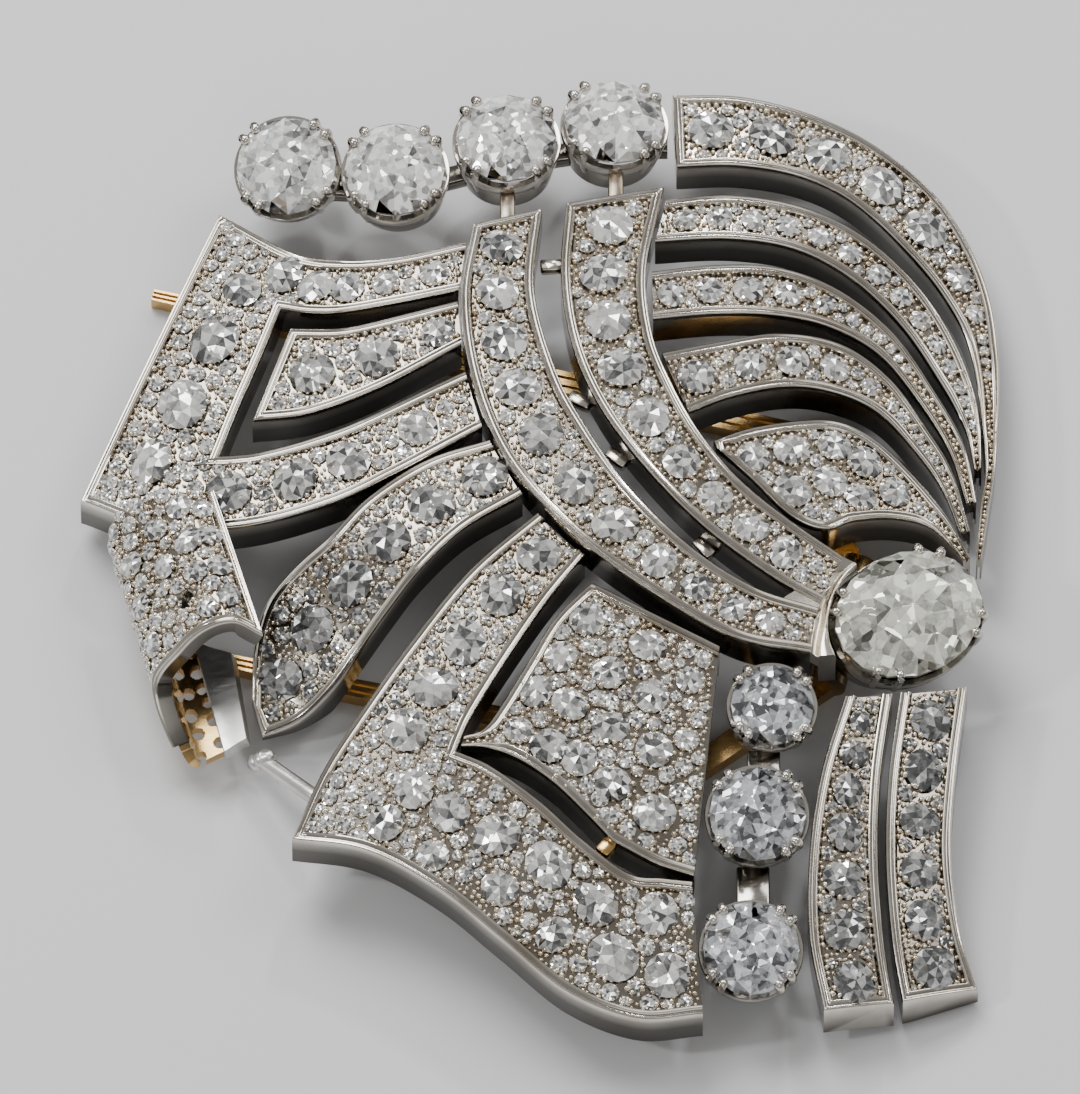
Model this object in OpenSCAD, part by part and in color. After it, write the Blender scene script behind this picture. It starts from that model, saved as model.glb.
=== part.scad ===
/* [Domed face] */
// Height of the face above the table at its crown
face_z = 6.8; // [6:0.1:8]
// Fall of the face to the left and right, in millimetres for each square millimetre
fall_x = 0.0075; // [0.006:0.0005:0.009]
// Fall of the face to the top and bottom, in the same unit
fall_y = 0.0043; // [0.003:0.0001:0.005]
// Extra fall of the face near the right edge, in the same unit
fall_right = 0.018; // [0.01:0.002:0.03]
// Height of the two crossing ribbons above the rest of the face
ribbon_lift = 0.7; // [0.4:0.1:1]

/* [Bands] */
// Width of the polished rim along a band
rim_w = 0.42; // [0.3:0.02:0.5]
// Width of the bevel between a rim and its bed
bevel_w = 0.1; // [0.05:0.01:0.15]
// Depth of the stone bed under the rims
bed_depth = 0.25; // [0.15:0.05:0.35]
// Height of a band's side wall
wall_h = 2.2; // [1.8:0.1:2.4]
// Thickness of the plate under the bed
plate_t = 0.75; // [0.6:0.05:1]
// Steps between two rows of a band's table
steps = 2; // [1:1:3]

/* [Curl] */
// Thickness of the rolled sheet
curl_t = 0.85; // [0.7:0.05:1]
// Radius of the empty seat in the curl
seat_r = 0.45; // [0.35:0.05:0.5]

/* [Set stones] */
// Share of a bed's half width that a row of stones fills
stone_fill = 0.88; // [0.7:0.02:0.92]
// Gap between a stone and its bed
stone_gap = 0.06; // [0.05:0.01:0.1]
// Distance between two stones of a row, in radii
stone_pitch = 2.5; // [2.3:0.1:3]
// Radius of the widest small stones
big_r = 1.12; // [1:0.02:1.3]
// Radius of the narrowest small stones
small_r = 0.3; // [0.25:0.05:0.4]
// Height of a small stone over its radius
stone_rise = 0.42; // [0.3:0.02:0.5]

/* [Claw settings] */
// Radius of the four stones of the top row
top_r = 2.32; // [2.2:0.01:2.35]
// Diameter of a claw
claw_d = 0.5; // [0.4:0.05:0.6]
// Thickness of a collet's wall
collet_t = 0.35; // [0.3:0.05:0.4]

/* [Clip] */
// Turn of the clip fitting, in degrees
clip_turn = -14; // [-16:1:-12]
// Thickness of a prong
prong_t = 0.8; // [0.6:0.1:1]
// Radius of the hinge knuckles
knuckle_r = 0.95; // [0.9:0.05:1.1]
// Radius of the hinge pin
pin_r = 0.38; // [0.3:0.02:0.42]

/* [Hidden] */
platinum = "gainsboro";
diamond = "aliceblue";
gold = "goldenrod";
// Shift that sets the middle of the clip's outline over the origin
centring = [-0.025, 2.04, 0];
crown = [1, -1];
// Columns of the ties between the ribbons: u along the right ribbon and turn
tie_places = [[0.7, 4], [2.75, -28], [3.7, -38], [5.2, -50]];
tie_reach = 1.1;
right_edge = 14;
table_gap = 0.15;
fork_clear = 1.0;
fit_gap = 0.06;
hinge = [13.85, -4.4];
hinge_z = 1.0;
stack_gap = 0.15;
bracket_len = 4.0;
end_len = 1.1;
web_w = 1.1;
plate_w = 2.4;
plate_t_hinge = 0.45;
plate_z = 1.2;
flute_depth = 0.15;
flute_w = 0.14;
claw_spread = 8;
claw_out = 0.3;
rail_w = 0.9;
rail_h = 0.8;
rail_z = 2.6;
// Posts that carry the top ends of the ribbons
ribbon_posts = [[-1.5, 15.3, 4.2], [3.5, 16.6, 4.2]];
post_size = [0.7, 2.0, 0.6];
// Columns of the side row's bars: x, y, z and length
side_bars = [[10.2, -13.6, 4.1, 1.8], [9.7, -19.75, 3.5, 2.8]];
side_bar_w = 1.5;
side_bar_h = 0.6;

// Columns of a band's table: one edge's x and y, then the other edge's x and y, as seen from above
ribbon_a_rows = [
  [-3.1, 13.6, 0.1, 14.4],
  [-3.65, 9.6, -0.25, 9.9],
  [-3.1, 5.0, 0.7, 5.6],
  [-1.5, 0.7, 2.0, 2.7],
  [1.5, -3.1, 4.0, -0.5],
  [5.0, -5.9, 6.9, -3.6],
  [8.9, -8.1, 9.8, -5.5],
  [12.35, -8.6, 12.7, -6.3],
];
ribbon_b_rows = [
  [1.2, 14.7, 5.7, 15.7],
  [0.95, 10.8, 4.9, 11.1],
  [1.4, 7.1, 5.15, 7.6],
  [2.6, 3.8, 6.0, 5.0],
  [4.6, 0.65, 7.3, 2.4],
  [7.3, -2.4, 9.2, -0.1],
  [10.4, -4.8, 11.6, -2.1],
  [12.8, -6.1, 13.85, -3.6],
];
upper_arm_rows = [
  [-3.4, 13.0, -3.75, 10.3],
  [-6.4, 12.35, -6.4, 9.8],
  [-9.0, 12.3, -9.0, 9.45],
  [-11.4, 13.0, -10.6, 9.55],
  [-14.8, 15.6, -11.9, 9.9],
];
column_rows = [
  [-14.8, 15.6, -11.9, 9.9],
  [-16.9, 10.7, -12.8, 7.4],
  [-19.0, 5.8, -13.8, 4.8],
  [-21.1, 0.9, -14.7, 2.3],
];
lower_arm_rows = [
  [-21.1, 0.9, -14.7, 2.3],
  [-17.6, -1.0, -13.9, 2.25],
  [-13.6, -1.5, -12.8, 2.3],
  [-9.7, -0.75, -10.6, 2.75],
  [-6.6, 0.65, -8.0, 3.65],
  [-2.65, 2.85, -3.45, 5.9],
];
tongue_rows = [
  [-11.5, 8.8, -13.2, 4.0],
  [-9.0, 8.6, -10.6, 4.1],
  [-6.4, 9.1, -7.4, 5.2],
  [-3.8, 9.75, -3.6, 7.3],
];
arc_1_rows = [
  [6.1, 21.5, 6.3, 17.3],
  [9.4, 21.6, 9.1, 17.55],
  [12.9, 20.75, 11.9, 17.2],
  [16.0, 19.1, 14.2, 16.1],
  [18.7, 16.6, 16.5, 14.0],
  [20.5, 13.0, 18.6, 11.4],
  [21.15, 8.8, 19.85, 8.5],
  [20.95, 3.3, 20.45, 3.1],
  [20.6, 0.5, 20.2, 0.4],
  [20.25, -2.1, 20.0, -2.2],
];
arc_2_rows = [
  [5.8, 15.4, 5.3, 13.0],
  [8.9, 15.85, 8.7, 13.35],
  [12.3, 15.4, 11.6, 13.05],
  [15.2, 13.9, 14.1, 11.8],
  [17.7, 11.4, 16.5, 9.5],
  [19.35, 8.5, 18.3, 6.8],
  [20.15, 5.7, 19.5, 4.5],
  [20.28, 2.6, 19.95, 2.4],
];
arc_3_rows = [
  [5.15, 11.35, 5.2, 8.7],
  [8.0, 11.85, 8.2, 9.15],
  [10.9, 11.95, 10.9, 9.25],
  [13.6, 11.05, 13.3, 8.85],
  [16.2, 9.0, 15.6, 7.6],
  [18.1, 6.2, 17.45, 5.3],
  [19.5, 3.6, 18.8, 3.0],
  [20.02, 0.7, 19.55, 0.5],
];
arc_4_rows = [
  [5.6, 6.9, 6.85, 3.75],
  [8.1, 7.6, 8.8, 4.7],
  [11.0, 8.3, 11.2, 5.4],
  [13.8, 8.0, 13.3, 5.35],
  [16.1, 6.4, 15.4, 4.55],
  [17.8, 4.0, 17.2, 2.7],
  [18.95, 2.0, 18.4, 1.0],
  [19.72, -0.9, 19.25, -1.1],
];
leaf_rows = [
  [7.95, 2.25, 8.05, 1.95],
  [9.4, 3.0, 9.6, 0.45],
  [11.6, 3.6, 11.4, -1.35],
  [13.6, 3.8, 13.0, -1.95],
  [15.3, 3.1, 14.4, -1.35],
  [17.0, 1.6, 16.2, -1.0],
  [18.7, -0.4, 17.9, -1.2],
  [19.72, -2.35, 19.4, -2.5],
];
frame_side_rows = [
  [-0.15, -1.65, 2.05, -3.85],
  [-3.2, -4.5, 0.3, -6.2],
  [-5.8, -7.9, -1.6, -9.2],
  [-8.0, -11.1, -3.0, -11.6],
  [-9.9, -14.1, -3.5, -12.7],
  [-11.3, -17.3, -3.8, -13.5],
];
frame_foot_rows = [
  [-11.3, -17.3, -3.8, -13.5],
  [-7.9, -18.1, -2.2, -14.3],
  [-4.6, -20.1, 0.0, -16.0],
  [-1.8, -22.5, 1.9, -17.8],
  [1.2, -25.0, 4.0, -19.4],
  [4.4, -26.2, 5.6, -19.6],
  [7.4, -25.9, 6.9, -19.7],
];
plaque_left_rows = [
  [-3.45, -12.8, -3.6, -13.3],
  [-2.6, -12.5, -2.4, -13.4],
  [-1.75, -11.3, -1.0, -13.95],
  [-0.6, -9.3, 0.6, -15.1],
  [0.7, -7.0, 2.0, -16.5],
  [2.35, -5.2, 3.3, -17.9],
];
plaque_right_rows = [
  [2.35, -5.2, 3.3, -17.9],
  [5.2, -6.7, 5.2, -18.9],
  [8.2, -8.2, 7.0, -19.45],
];
tail_left_rows = [
  [13.9, -10.3, 16.1, -9.9],
  [12.8, -14.2, 15.55, -13.9],
  [12.25, -18.2, 15.4, -17.9],
  [12.25, -22.0, 15.65, -21.8],
  [12.9, -25.4, 16.1, -24.75],
];
tail_right_rows = [
  [16.45, -9.8, 19.55, -8.9],
  [15.9, -13.9, 19.0, -13.2],
  [15.75, -17.8, 18.75, -17.2],
  [16.0, -21.6, 19.15, -20.7],
  [16.5, -24.6, 19.95, -23.4],
];
// Columns of the scroll's table: one edge's x, y and z, then the other edge's x, y and z
scroll_rows = [
  [-2.35, 2.2, 6.7, -0.8, -0.7, 6.8],
  [-5.1, 1.3, 6.5, -3.4, -2.3, 6.6],
  [-7.8, -0.4, 6.1, -5.4, -4.2, 6.2],
  [-9.7, -2.3, 5.6, -6.8, -5.8, 5.4],
  [-11.3, -3.5, 4.8, -8.2, -7.5, 4.4],
  [-12.5, -4.7, 3.8, -9.5, -8.9, 3.2],
  [-13.1, -6.4, 2.6, -11.0, -9.9, 2.0],
  [-13.2, -8.6, 1.7, -12.7, -10.4, 1.35],
];
// Columns of the curl's table: the far end's x, y and z, then the near end's x, y and z
curl_rows = [
  [-14.9, 0.0, 5.8, -12.6, -8.0, 6.9],
  [-16.0, -0.1, 6.0, -13.9, -7.55, 7.3],
  [-17.1, -0.1, 5.8, -15.3, -7.75, 6.9],
  [-18.4, -0.3, 5.2, -16.5, -8.3, 5.7],
  [-19.75, -0.95, 4.2, -17.65, -9.3, 3.9],
  [-19.6, -2.2, 2.6, -16.85, -11.4, 2.1],
  [-18.0, -4.2, 1.35, -15.95, -12.1, 1.25],
  [-15.9, -5.6, 1.2, -14.4, -11.5, 1.2],
  [-13.9, -6.6, 1.7, -13.25, -10.9, 1.5],
];
curl_span_steps = 5;
curl_split = 5.0;
// The empty seat's share of the curl's table, and its turn
seat_place = [2.45, 0.72];
seat_turn = -22;
// Places of the pierced holes in the curl's back
azure_places = [
  [5.6, 0.55], [5.7, 0.72], [5.75, 0.88], [6.2, 0.62],
  [6.3, 0.8], [6.35, 0.94], [6.8, 0.7], [6.9, 0.88],
];
azure_d = 0.55;
strut_ends = [[-12.75, -11.6, 1.35], [-10.3, -14.1, 2.5]];
strut_d = 0.7;
// The collar's outline from above: its outside, then its inside by the stone and by the collet
collar_outside = [
  [14.4, -3.7], [14.0, -4.15], [13.55, -4.85], [13.2, -5.7], [12.95, -6.9], [12.75, -8.0], [12.7, -8.6],
];
collar_by_stone = [[13.5, -8.55], [13.2, -7.6], [13.2, -6.6], [13.4, -5.6], [13.85, -4.7], [14.5, -4.0]];
collar_by_collet = [[13.9, -8.3], [13.65, -7.6], [13.6, -6.6], [13.75, -5.6], [14.2, -4.8], [14.75, -4.25]];
collar_low = 3.4;
collar_high = 5.9;
collar_foot_h = 0.8;

// Columns of a claw-set stone: name, centre x, y and z, half length, half width,
// lean to the front, lean to the right, height of the collet's foot, turn of its long way
STONE_NAME = 0;
STONE_CENTRE = 1;
STONE_RX = 2;
STONE_RY = 3;
STONE_LEAN_FRONT = 4;
STONE_LEAN_RIGHT = 5;
STONE_FOOT = 6;
STONE_TURN = 7;
claw_stones = [
  ["top_stone_1", [-11.7, 17.55, 4.7], top_r, top_r, 14, -8, 2.6, 0],
  ["top_stone_2", [-6.7, 17.2, 5.0], top_r, top_r, 4, -3, 2.7, 0],
  ["top_stone_3", [-1.55, 18.75, 5.2], top_r, top_r, -2, 0, 2.8, 0],
  ["top_stone_4", [3.45, 19.65, 5.1], top_r, 2.2, -2, 3, 2.7, 0],
  ["side_stone_1", [10.6, -11.1, 5.8], 1.9, 1.9, 12, 3, 3.4, 0],
  ["side_stone_2", [9.9, -16.5, 5.4], 2.2, 2.2, 14, 2, 3.0, 0],
  ["side_stone_3", [9.6, -22.8, 4.3], 2.2, 2.2, 12, 2, 2.0, 0],
  ["oval_stone", [16.85, -6.0, 5.0], 3.65, 2.95, 5, 10, 2.75, 35],
];
// Columns of the fork's two prongs, from tip to root: x, y and width
upper_prong = [
  [-17.9, 12.95, 0.55], [-9.0, 10.75, 0.85], [1.4, 8.3, 1.1], [11.6, 5.7, 1.25], [14.5, -1.8, 1.3],
];
lower_prong = [
  [-16.9, -5.5, 0.55], [-8.8, -7.5, 0.9], [-0.8, -9.3, 1.1], [7.4, -11.4, 1.25], [13.2, -7.0, 1.3],
];
// Middle line of the rail under the top row
rail_line = [[-13.3, 16.6], [-11.6, 17.4], [-6.7, 17.1], [-1.6, 18.6], [3.45, 19.5], [5.9, 19.5]];

// Height of the face at a point seen from above
function face_height(x, y) = face_z - fall_x * pow(x - crown.x, 2) - fall_y * pow(y - crown.y, 2)
  - fall_right * pow(max(0, x - right_edge), 2);

// A smooth curve through the rows of a table, where u counts rows
function smooth_row(rows, u) =
  let (last = len(rows) - 1,
       i = max(0, min(floor(u), last - 1)),
       f = u - i,
       b = rows[i],
       c = rows[i + 1],
       a = i > 0 ? rows[i - 1] : 2 * b - c,
       d = i + 1 < last ? rows[i + 2] : 2 * c - b)
  0.5 * (2 * b + (c - a) * f + (2 * a - 5 * b + 4 * c - d) * f * f + (3 * b - a - 3 * c + d) * f * f * f);

// The place at share s of the way across a band, at u along its table
function band_point(rows, u, s, lift) =
  let (r = smooth_row(rows, u),
       six = len(rows[0]) == 6,
       x = r[0] + (r[six ? 3 : 2] - r[0]) * s,
       y = r[1] + (r[six ? 4 : 3] - r[1]) * s)
  [x, y, six ? r[2] + (r[5] - r[2]) * s : face_height(x, y) + lift];

function unit(v) = v / norm(v);
function row_width(rows, u) = norm(band_point(rows, u, 1, 0) - band_point(rows, u, 0, 0));
function row_length(rows, u) =
  norm(band_point(rows, u + 0.25, 0.5, 0) - band_point(rows, u - 0.25, 0.5, 0)) * 2;

// Places along a table, each as u and whether it lies in an end rim
function stations(rows, start_rim, end_rim) =
  let (last = len(rows) - 1,
       a = rim_w / row_length(rows, 0.3),
       b = (rim_w + bevel_w) / row_length(rows, 0.3),
       c = rim_w / row_length(rows, last - 0.3),
       d = (rim_w + bevel_w) / row_length(rows, last - 0.3))
  concat(
    [[0, start_rim]],
    start_rim ? [[a, true], [b, false]] : [],
    [for (i = [1 : steps * last - 1]) [i / steps, false]],
    end_rim ? [[last - d, false], [last - c, true]] : [],
    [[last, end_rim]]);

// Shares across a band: both rims, their bevels and the bed between them
function shares(width, across) =
  let (r = min(rim_w, 0.28 * width) / width,
       b = min(rim_w + bevel_w, 0.36 * width) / width)
  concat([0, r], [for (k = [0 : across]) b + (1 - 2 * b) * k / across], [1 - r, 1]);

function in_rim(k, count) = k < 2 || k > count - 3;

// One station's row of points, on top of the band or under it
function top_row(rows, at, lift, across) =
  let (q = shares(row_width(rows, at[0]), across))
  [for (k = [0 : len(q) - 1])
    band_point(rows, at[0], q[k], lift) - [0, 0, at[1] || in_rim(k, len(q)) ? 0 : bed_depth]];

function under_row(rows, at, lift, across, floor_z) =
  let (q = shares(row_width(rows, at[0]), across))
  [for (k = [0 : len(q) - 1])
    let (p = band_point(rows, at[0], q[k], lift),
         wall = min(wall_h, p.z - floor_z),
         plate = min(bed_depth + plate_t, wall))
    p - [0, 0, at[1] || in_rim(k, len(q)) ? wall : plate]];

// The stations of all legs of a band, where each leg starts at the mitre that the last one ends at
function leg_stations(legs, rims) =
  [for (i = [0 : len(legs) - 1])
    let (all = stations(legs[i], i == 0 && rims[0], i == len(legs) - 1 && rims[1]))
    for (j = [i == 0 ? 0 : 1 : len(all) - 1]) [i, all[j]]];

// Two triangles for each cell of a grid of points, numbered row by row from a first number
function grid_faces(n, m, first, flip) =
  [for (i = [0 : n - 2], j = [0 : m - 2])
    let (a = first + i * m + j, b = a + 1, c = a + m, d = c + 1)
    each flip ? [[a, c, b], [b, c, d]] : [[a, b, c], [b, d, c]]];

// A closed solid between a grid of points and the grid that lies under it
module sheet_solid(top, under) {
  n = len(top);
  m = len(top[0]);
  half = n * m;
  rim = concat(
    [for (j = [0 : m - 2]) [j, j + 1]],
    [for (i = [0 : n - 2]) [i * m + m - 1, (i + 1) * m + m - 1]],
    [for (j = [m - 1 : -1 : 1]) [(n - 1) * m + j, (n - 1) * m + j - 1]],
    [for (i = [n - 1 : -1 : 1]) [i * m, (i - 1) * m]]);
  middle = floor(n / 2);
  along = top[middle][0] - top[middle - 1][0];
  across = top[middle][m - 1] - top[middle][0];
  up = top[middle][0] - under[middle][0];
  flip = cross(along, across) * up < 0;
  points = [for (g = [top, under], r = g, p = r) p];
  side = [for (e = rim) each flip
    ? [[e[0], e[1], e[0] + half], [e[1], e[1] + half, e[0] + half]]
    : [[e[0], e[0] + half, e[1]], [e[1], e[0] + half, e[1] + half]]];
  faces = concat(grid_faces(n, m, 0, flip), grid_faces(n, m, half, !flip), side);
  polyhedron(points, faces);
}

// A rimmed band from one or more legs
module band(legs, lift = 0, rims = [true, true], across = 1, floor_z = table_gap) {
  places = leg_stations(legs, rims);
  sheet_solid(
    [for (p = places) top_row(legs[p[0]], p[1], lift, across)],
    [for (p = places) under_row(legs[p[0]], p[1], lift, across, floor_z)]);
}

module ribbon_a() {
  color(platinum) band([ribbon_a_rows], lift = ribbon_lift, rims = [true, false]);
}

module ribbon_b() {
  color(platinum) union() {
    band([ribbon_b_rows], lift = ribbon_lift, rims = [true, false]);
    for (q = tie_places) {
      p = band_point(ribbon_b_rows, q[0], 0, ribbon_lift);
      translate([p.x - 0.4, p.y, p.z - 1.5]) rotate([0, 0, q[1]]) cube([tie_reach, 0.6, 0.5], center = true);
    }
  }
}

module left_bracket() {
  color(platinum) band([upper_arm_rows, column_rows, lower_arm_rows], rims = [false, false]);
}

module left_tongue() {
  color(platinum) band([tongue_rows], rims = [true, false]);
}

module scroll_band() {
  color(platinum) band([scroll_rows], rims = [false, true], floor_z = fork_clear);
}

module lower_frame() {
  color(platinum) band([frame_side_rows, frame_foot_rows], rims = [false, false], across = 2);
}

module inner_plaque() {
  color(platinum) band([plaque_left_rows, plaque_right_rows], rims = [true, false], across = 3);
}

module arc_1() {
  color(platinum) band([arc_1_rows], rims = [true, false]);
}

module arc_2() {
  color(platinum) band([arc_2_rows], rims = [false, false]);
}

module arc_3() {
  color(platinum) band([arc_3_rows], rims = [false, false]);
}

module arc_4() {
  color(platinum) band([arc_4_rows], rims = [false, false]);
}

module leaf_plaque() {
  color(platinum) band([leaf_rows], rims = [true, false], across = 2);
}

module tail_left() {
  color(platinum) band([tail_left_rows], rims = [false, true]);
}

module tail_right() {
  color(platinum) band([tail_right_rows], rims = [false, true]);
}

// The rolled sheet's outer face, where u counts rows round the roll and t runs from the far to the near end
function curl_point(u, t) =
  let (r = smooth_row(curl_rows, u))
  [for (k = [0 : 2]) r[k] + (r[k + 3] - r[k]) * t];

function curl_normal(u, t) =
  let (last = len(curl_rows) - 1,
       a = curl_point(min(u + 0.1, last), t) - curl_point(max(u - 0.1, 0), t),
       b = curl_point(u, t + 0.1) - curl_point(u, t - 0.1))
  unit(cross(a, b));

// Part of the rolled sheet, between two shares of its table
module curl_sheet(from, to, rimmed) {
  rim_u = rim_w / norm(curl_point(0.5, 1) - curl_point(0, 1)) / 2;
  rim_t = rim_w / norm(curl_point(1, 1) - curl_point(1, 0));
  rows = concat(
    [from],
    rimmed ? [rim_u, 1.3 * rim_u] : [],
    [for (i = [1 : 2 * len(curl_rows)]) if (i / 2 > from + 0.1 && i / 2 < to - 0.1) i / 2],
    [to]);
  spans = concat(
    [for (j = [0 : curl_span_steps - 1]) j / curl_span_steps],
    rimmed ? [1 - 1.3 * rim_t, 1 - rim_t] : [],
    [1]);
  function dip(u, t) = !rimmed || u < 1.1 * rim_u || t > 1 - 1.1 * rim_t ? 0 : bed_depth;
  sheet_solid(
    [for (u = rows) [for (t = spans) curl_point(u, t) - curl_normal(u, t) * dip(u, t)]],
    [for (u = rows) [for (t = spans) curl_point(u, t) - curl_normal(u, t) * curl_t]]);
}

module scroll_curl() {
  seat = curl_point(seat_place[0], seat_place[1]);
  color(platinum) difference() {
    curl_sheet(0, curl_split, true);
    translate(seat) rotate([0, seat_turn, 0]) cylinder(r = seat_r, h = 3, center = true, $fn = 24);
  }
}

module curl_back() {
  color(gold) difference() {
    curl_sheet(curl_split + 0.05, len(curl_rows) - 1, false);
    for (q = azure_places)
      translate(curl_point(q[0], q[1])) cylinder(d = azure_d, h = 4, center = true, $fn = 24);
  }
}

module curl_strut() {
  color(platinum) hull() {
    for (p = strut_ends) translate(p) cylinder(d = strut_d, h = strut_d, center = true, $fn = 16);
  }
}

// One small stone: a table, eight crown facets and eight more below its girdle
function gem_points(p, up, along, r) =
  let (side = cross(up, along),
       levels = [[0.74, 0], [1, 0.32], [0.6, 1]])
  [for (l = levels, k = [0 : 7])
    p + (along * cos(45 * k) + side * sin(45 * k)) * r * l[0] + up * (stone_gap + l[1] * stone_rise * r)];

function gem_faces(first) = concat(
  [[for (k = [0 : 7]) first + k]],
  [[for (k = [7 : -1 : 0]) first + 16 + k]],
  [for (l = [0, 8], k = [0 : 7])
    let (a = first + l + k, b = first + l + (k + 1) % 8)
    each [[a, a + 8, b], [b, a + 8, b + 8]]]);

// A stone's place on a band: its foot, the way up, the way along and its radius
function seat_on(rows, u, s, r, lift) =
  let (p = band_point(rows, u, s, lift) - [0, 0, bed_depth],
       du = band_point(rows, u + 0.05, s, lift) - band_point(rows, u - 0.05, s, lift),
       ds = band_point(rows, u, s + 0.05, lift) - band_point(rows, u, s - 0.05, lift),
       n = unit(cross(du, ds)))
  [p, n.z < 0 ? -n : n, unit(du), r];

// A row of stones along the middle of a band, each as wide as the bed allows, until it gets too narrow
function packed_row(rows, u, end, lift = 0) =
  let (half = row_width(rows, u) / 2 - rim_w - bevel_w,
       r = min(stone_fill * half, big_r))
  u > end || r < small_r ? [] : concat(
    [seat_on(rows, u, 0.5, r, lift)],
    packed_row(rows, u + stone_pitch * r / row_length(rows, u), end, lift));

// Stones placed one by one, each as u, share across and radius
function placed_stones(rows, places, lift) = [for (q = places) seat_on(rows, q[0], q[1], q[2], lift)];

module field(seats) {
  points = [for (q = seats) each gem_points(q[0], q[1], q[2], q[3])];
  faces = [for (i = [0 : len(seats) - 1]) each gem_faces(24 * i)];
  color(diamond) polyhedron(points, faces);
}

// Columns: u along the table, share across the band, radius
column_stones = [[0.35, 0.55, 0.95], [1.1, 0.52, 1.3], [2.0, 0.5, 1.3], [2.75, 0.45, 1.15]];
upper_arm_stones = [
  [0.45, 0.5, 0.72], [1.25, 0.5, 0.68], [1.95, 0.5, 0.85], [2.65, 0.5, 0.9], [3.3, 0.45, 1.0],
];
foot_stones = [
  [0.4, 0.62, 1.0], [0.75, 0.28, 0.9], [1.25, 0.55, 1.0], [1.6, 0.2, 0.8], [1.95, 0.6, 1.1],
  [2.55, 0.3, 0.9], [2.85, 0.68, 1.15], [3.5, 0.3, 0.9], [3.75, 0.68, 1.1], [4.4, 0.38, 1.2],
  [5.0, 0.75, 1.05], [5.4, 0.32, 1.1],
];
plaque_left_stones = [
  [2.3, 0.5, 0.7], [3.1, 0.25, 0.8], [3.15, 0.68, 0.9], [4.0, 0.2, 0.8], [4.05, 0.45, 0.85],
  [4.1, 0.72, 0.9], [4.8, 0.12, 0.85],
];
plaque_right_stones = [
  [0.2, 0.33, 0.85], [0.15, 0.55, 0.85], [0.1, 0.77, 0.9], [0.9, 0.14, 0.85], [0.95, 0.34, 0.85],
  [1.0, 0.55, 0.9], [1.0, 0.8, 1.0], [1.6, 0.2, 0.7], [1.6, 0.45, 0.6], [1.55, 0.68, 0.55],
];
leaf_stones = [
  [1.15, 0.5, 0.8], [2.0, 0.3, 0.85], [2.05, 0.72, 0.9], [3.0, 0.22, 0.8], [3.0, 0.55, 0.85],
  [3.9, 0.3, 0.85], [4.0, 0.7, 0.75], [4.8, 0.5, 0.8], [5.45, 0.5, 0.38],
];
curl_stones = [
  [0.75, 0.12, 0.55], [0.8, 0.32, 0.6], [0.8, 0.55, 0.6], [0.85, 0.78, 0.6], [1.7, 0.1, 0.65],
  [1.75, 0.35, 0.7], [1.8, 0.58, 0.6], [1.75, 0.85, 0.55], [2.75, 0.2, 0.6], [2.8, 0.45, 0.6],
  [3.7, 0.3, 0.65], [3.75, 0.55, 0.6], [3.7, 0.8, 0.6],
];

function curl_seat(u, t, r) =
  let (n = curl_normal(u, t), b = unit(curl_point(u, t + 0.1) - curl_point(u, t - 0.1)))
  [curl_point(u, t) - n * bed_depth, n, b, r];

module pave_left() {
  field(concat(
    placed_stones(upper_arm_rows, upper_arm_stones, 0),
    placed_stones(column_rows, column_stones, 0),
    packed_row(lower_arm_rows, 1.6, 4.8),
    packed_row(tongue_rows, 0.75, 2.8),
    packed_row(scroll_rows, 0.35, 6.4),
    packed_row(frame_side_rows, 0.4, 4.4),
    placed_stones(frame_foot_rows, foot_stones, 0),
    placed_stones(plaque_left_rows, plaque_left_stones, 0),
    placed_stones(plaque_right_rows, plaque_right_stones, 0),
    [for (q = curl_stones) curl_seat(q[0], q[1], q[2])]));
}

module pave_right() {
  field(concat(
    packed_row(ribbon_a_rows, 0.4, 6.7, ribbon_lift),
    packed_row(ribbon_b_rows, 0.4, 6.6, ribbon_lift),
    packed_row(arc_1_rows, 0.55, 6.4),
    packed_row(arc_2_rows, 0.35, 6.2),
    packed_row(arc_3_rows, 0.3, 5.6),
    packed_row(arc_4_rows, 0.45, 5.8),
    placed_stones(leaf_rows, leaf_stones, 0),
    packed_row(tail_left_rows, 0.35, 3.75),
    packed_row(tail_right_rows, 0.35, 3.75)));
}

// A stone's own frame: its girdle centre, with its lean
module stone_frame(q) {
  translate(q[STONE_CENTRE])
    rotate([q[STONE_LEAN_FRONT], q[STONE_LEAN_RIGHT], 0])
      rotate([0, 0, q[STONE_TURN]])
        children();
}

// Rings of a brilliant cut of radius 1, from the culet up to the table: radius, height, count and turn
cut_rings = [
  [0.03, -0.82, 8, 0], [0.58, -0.36, 8, 22.5], [1, -0.03, 16, 0],
  [1, 0.03, 16, 0], [0.82, 0.2, 8, 22.5], [0.56, 0.34, 8, 0],
];

module brilliant(rx, ry) {
  hull_points = [for (q = cut_rings, k = [0 : q[2] - 1])
    [rx * q[0] * cos(q[3] + 360 * k / q[2]), ry * q[0] * sin(q[3] + 360 * k / q[2]), rx * q[1]]];
  hull() polyhedron(hull_points, [for (k = [1 : len(hull_points) - 2]) [0, k, k + 1]]);
}

module claw_stone(i) {
  q = claw_stones[i];
  color(diamond) stone_frame(q) brilliant(q[STONE_RX], q[STONE_RY]);
}

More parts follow.
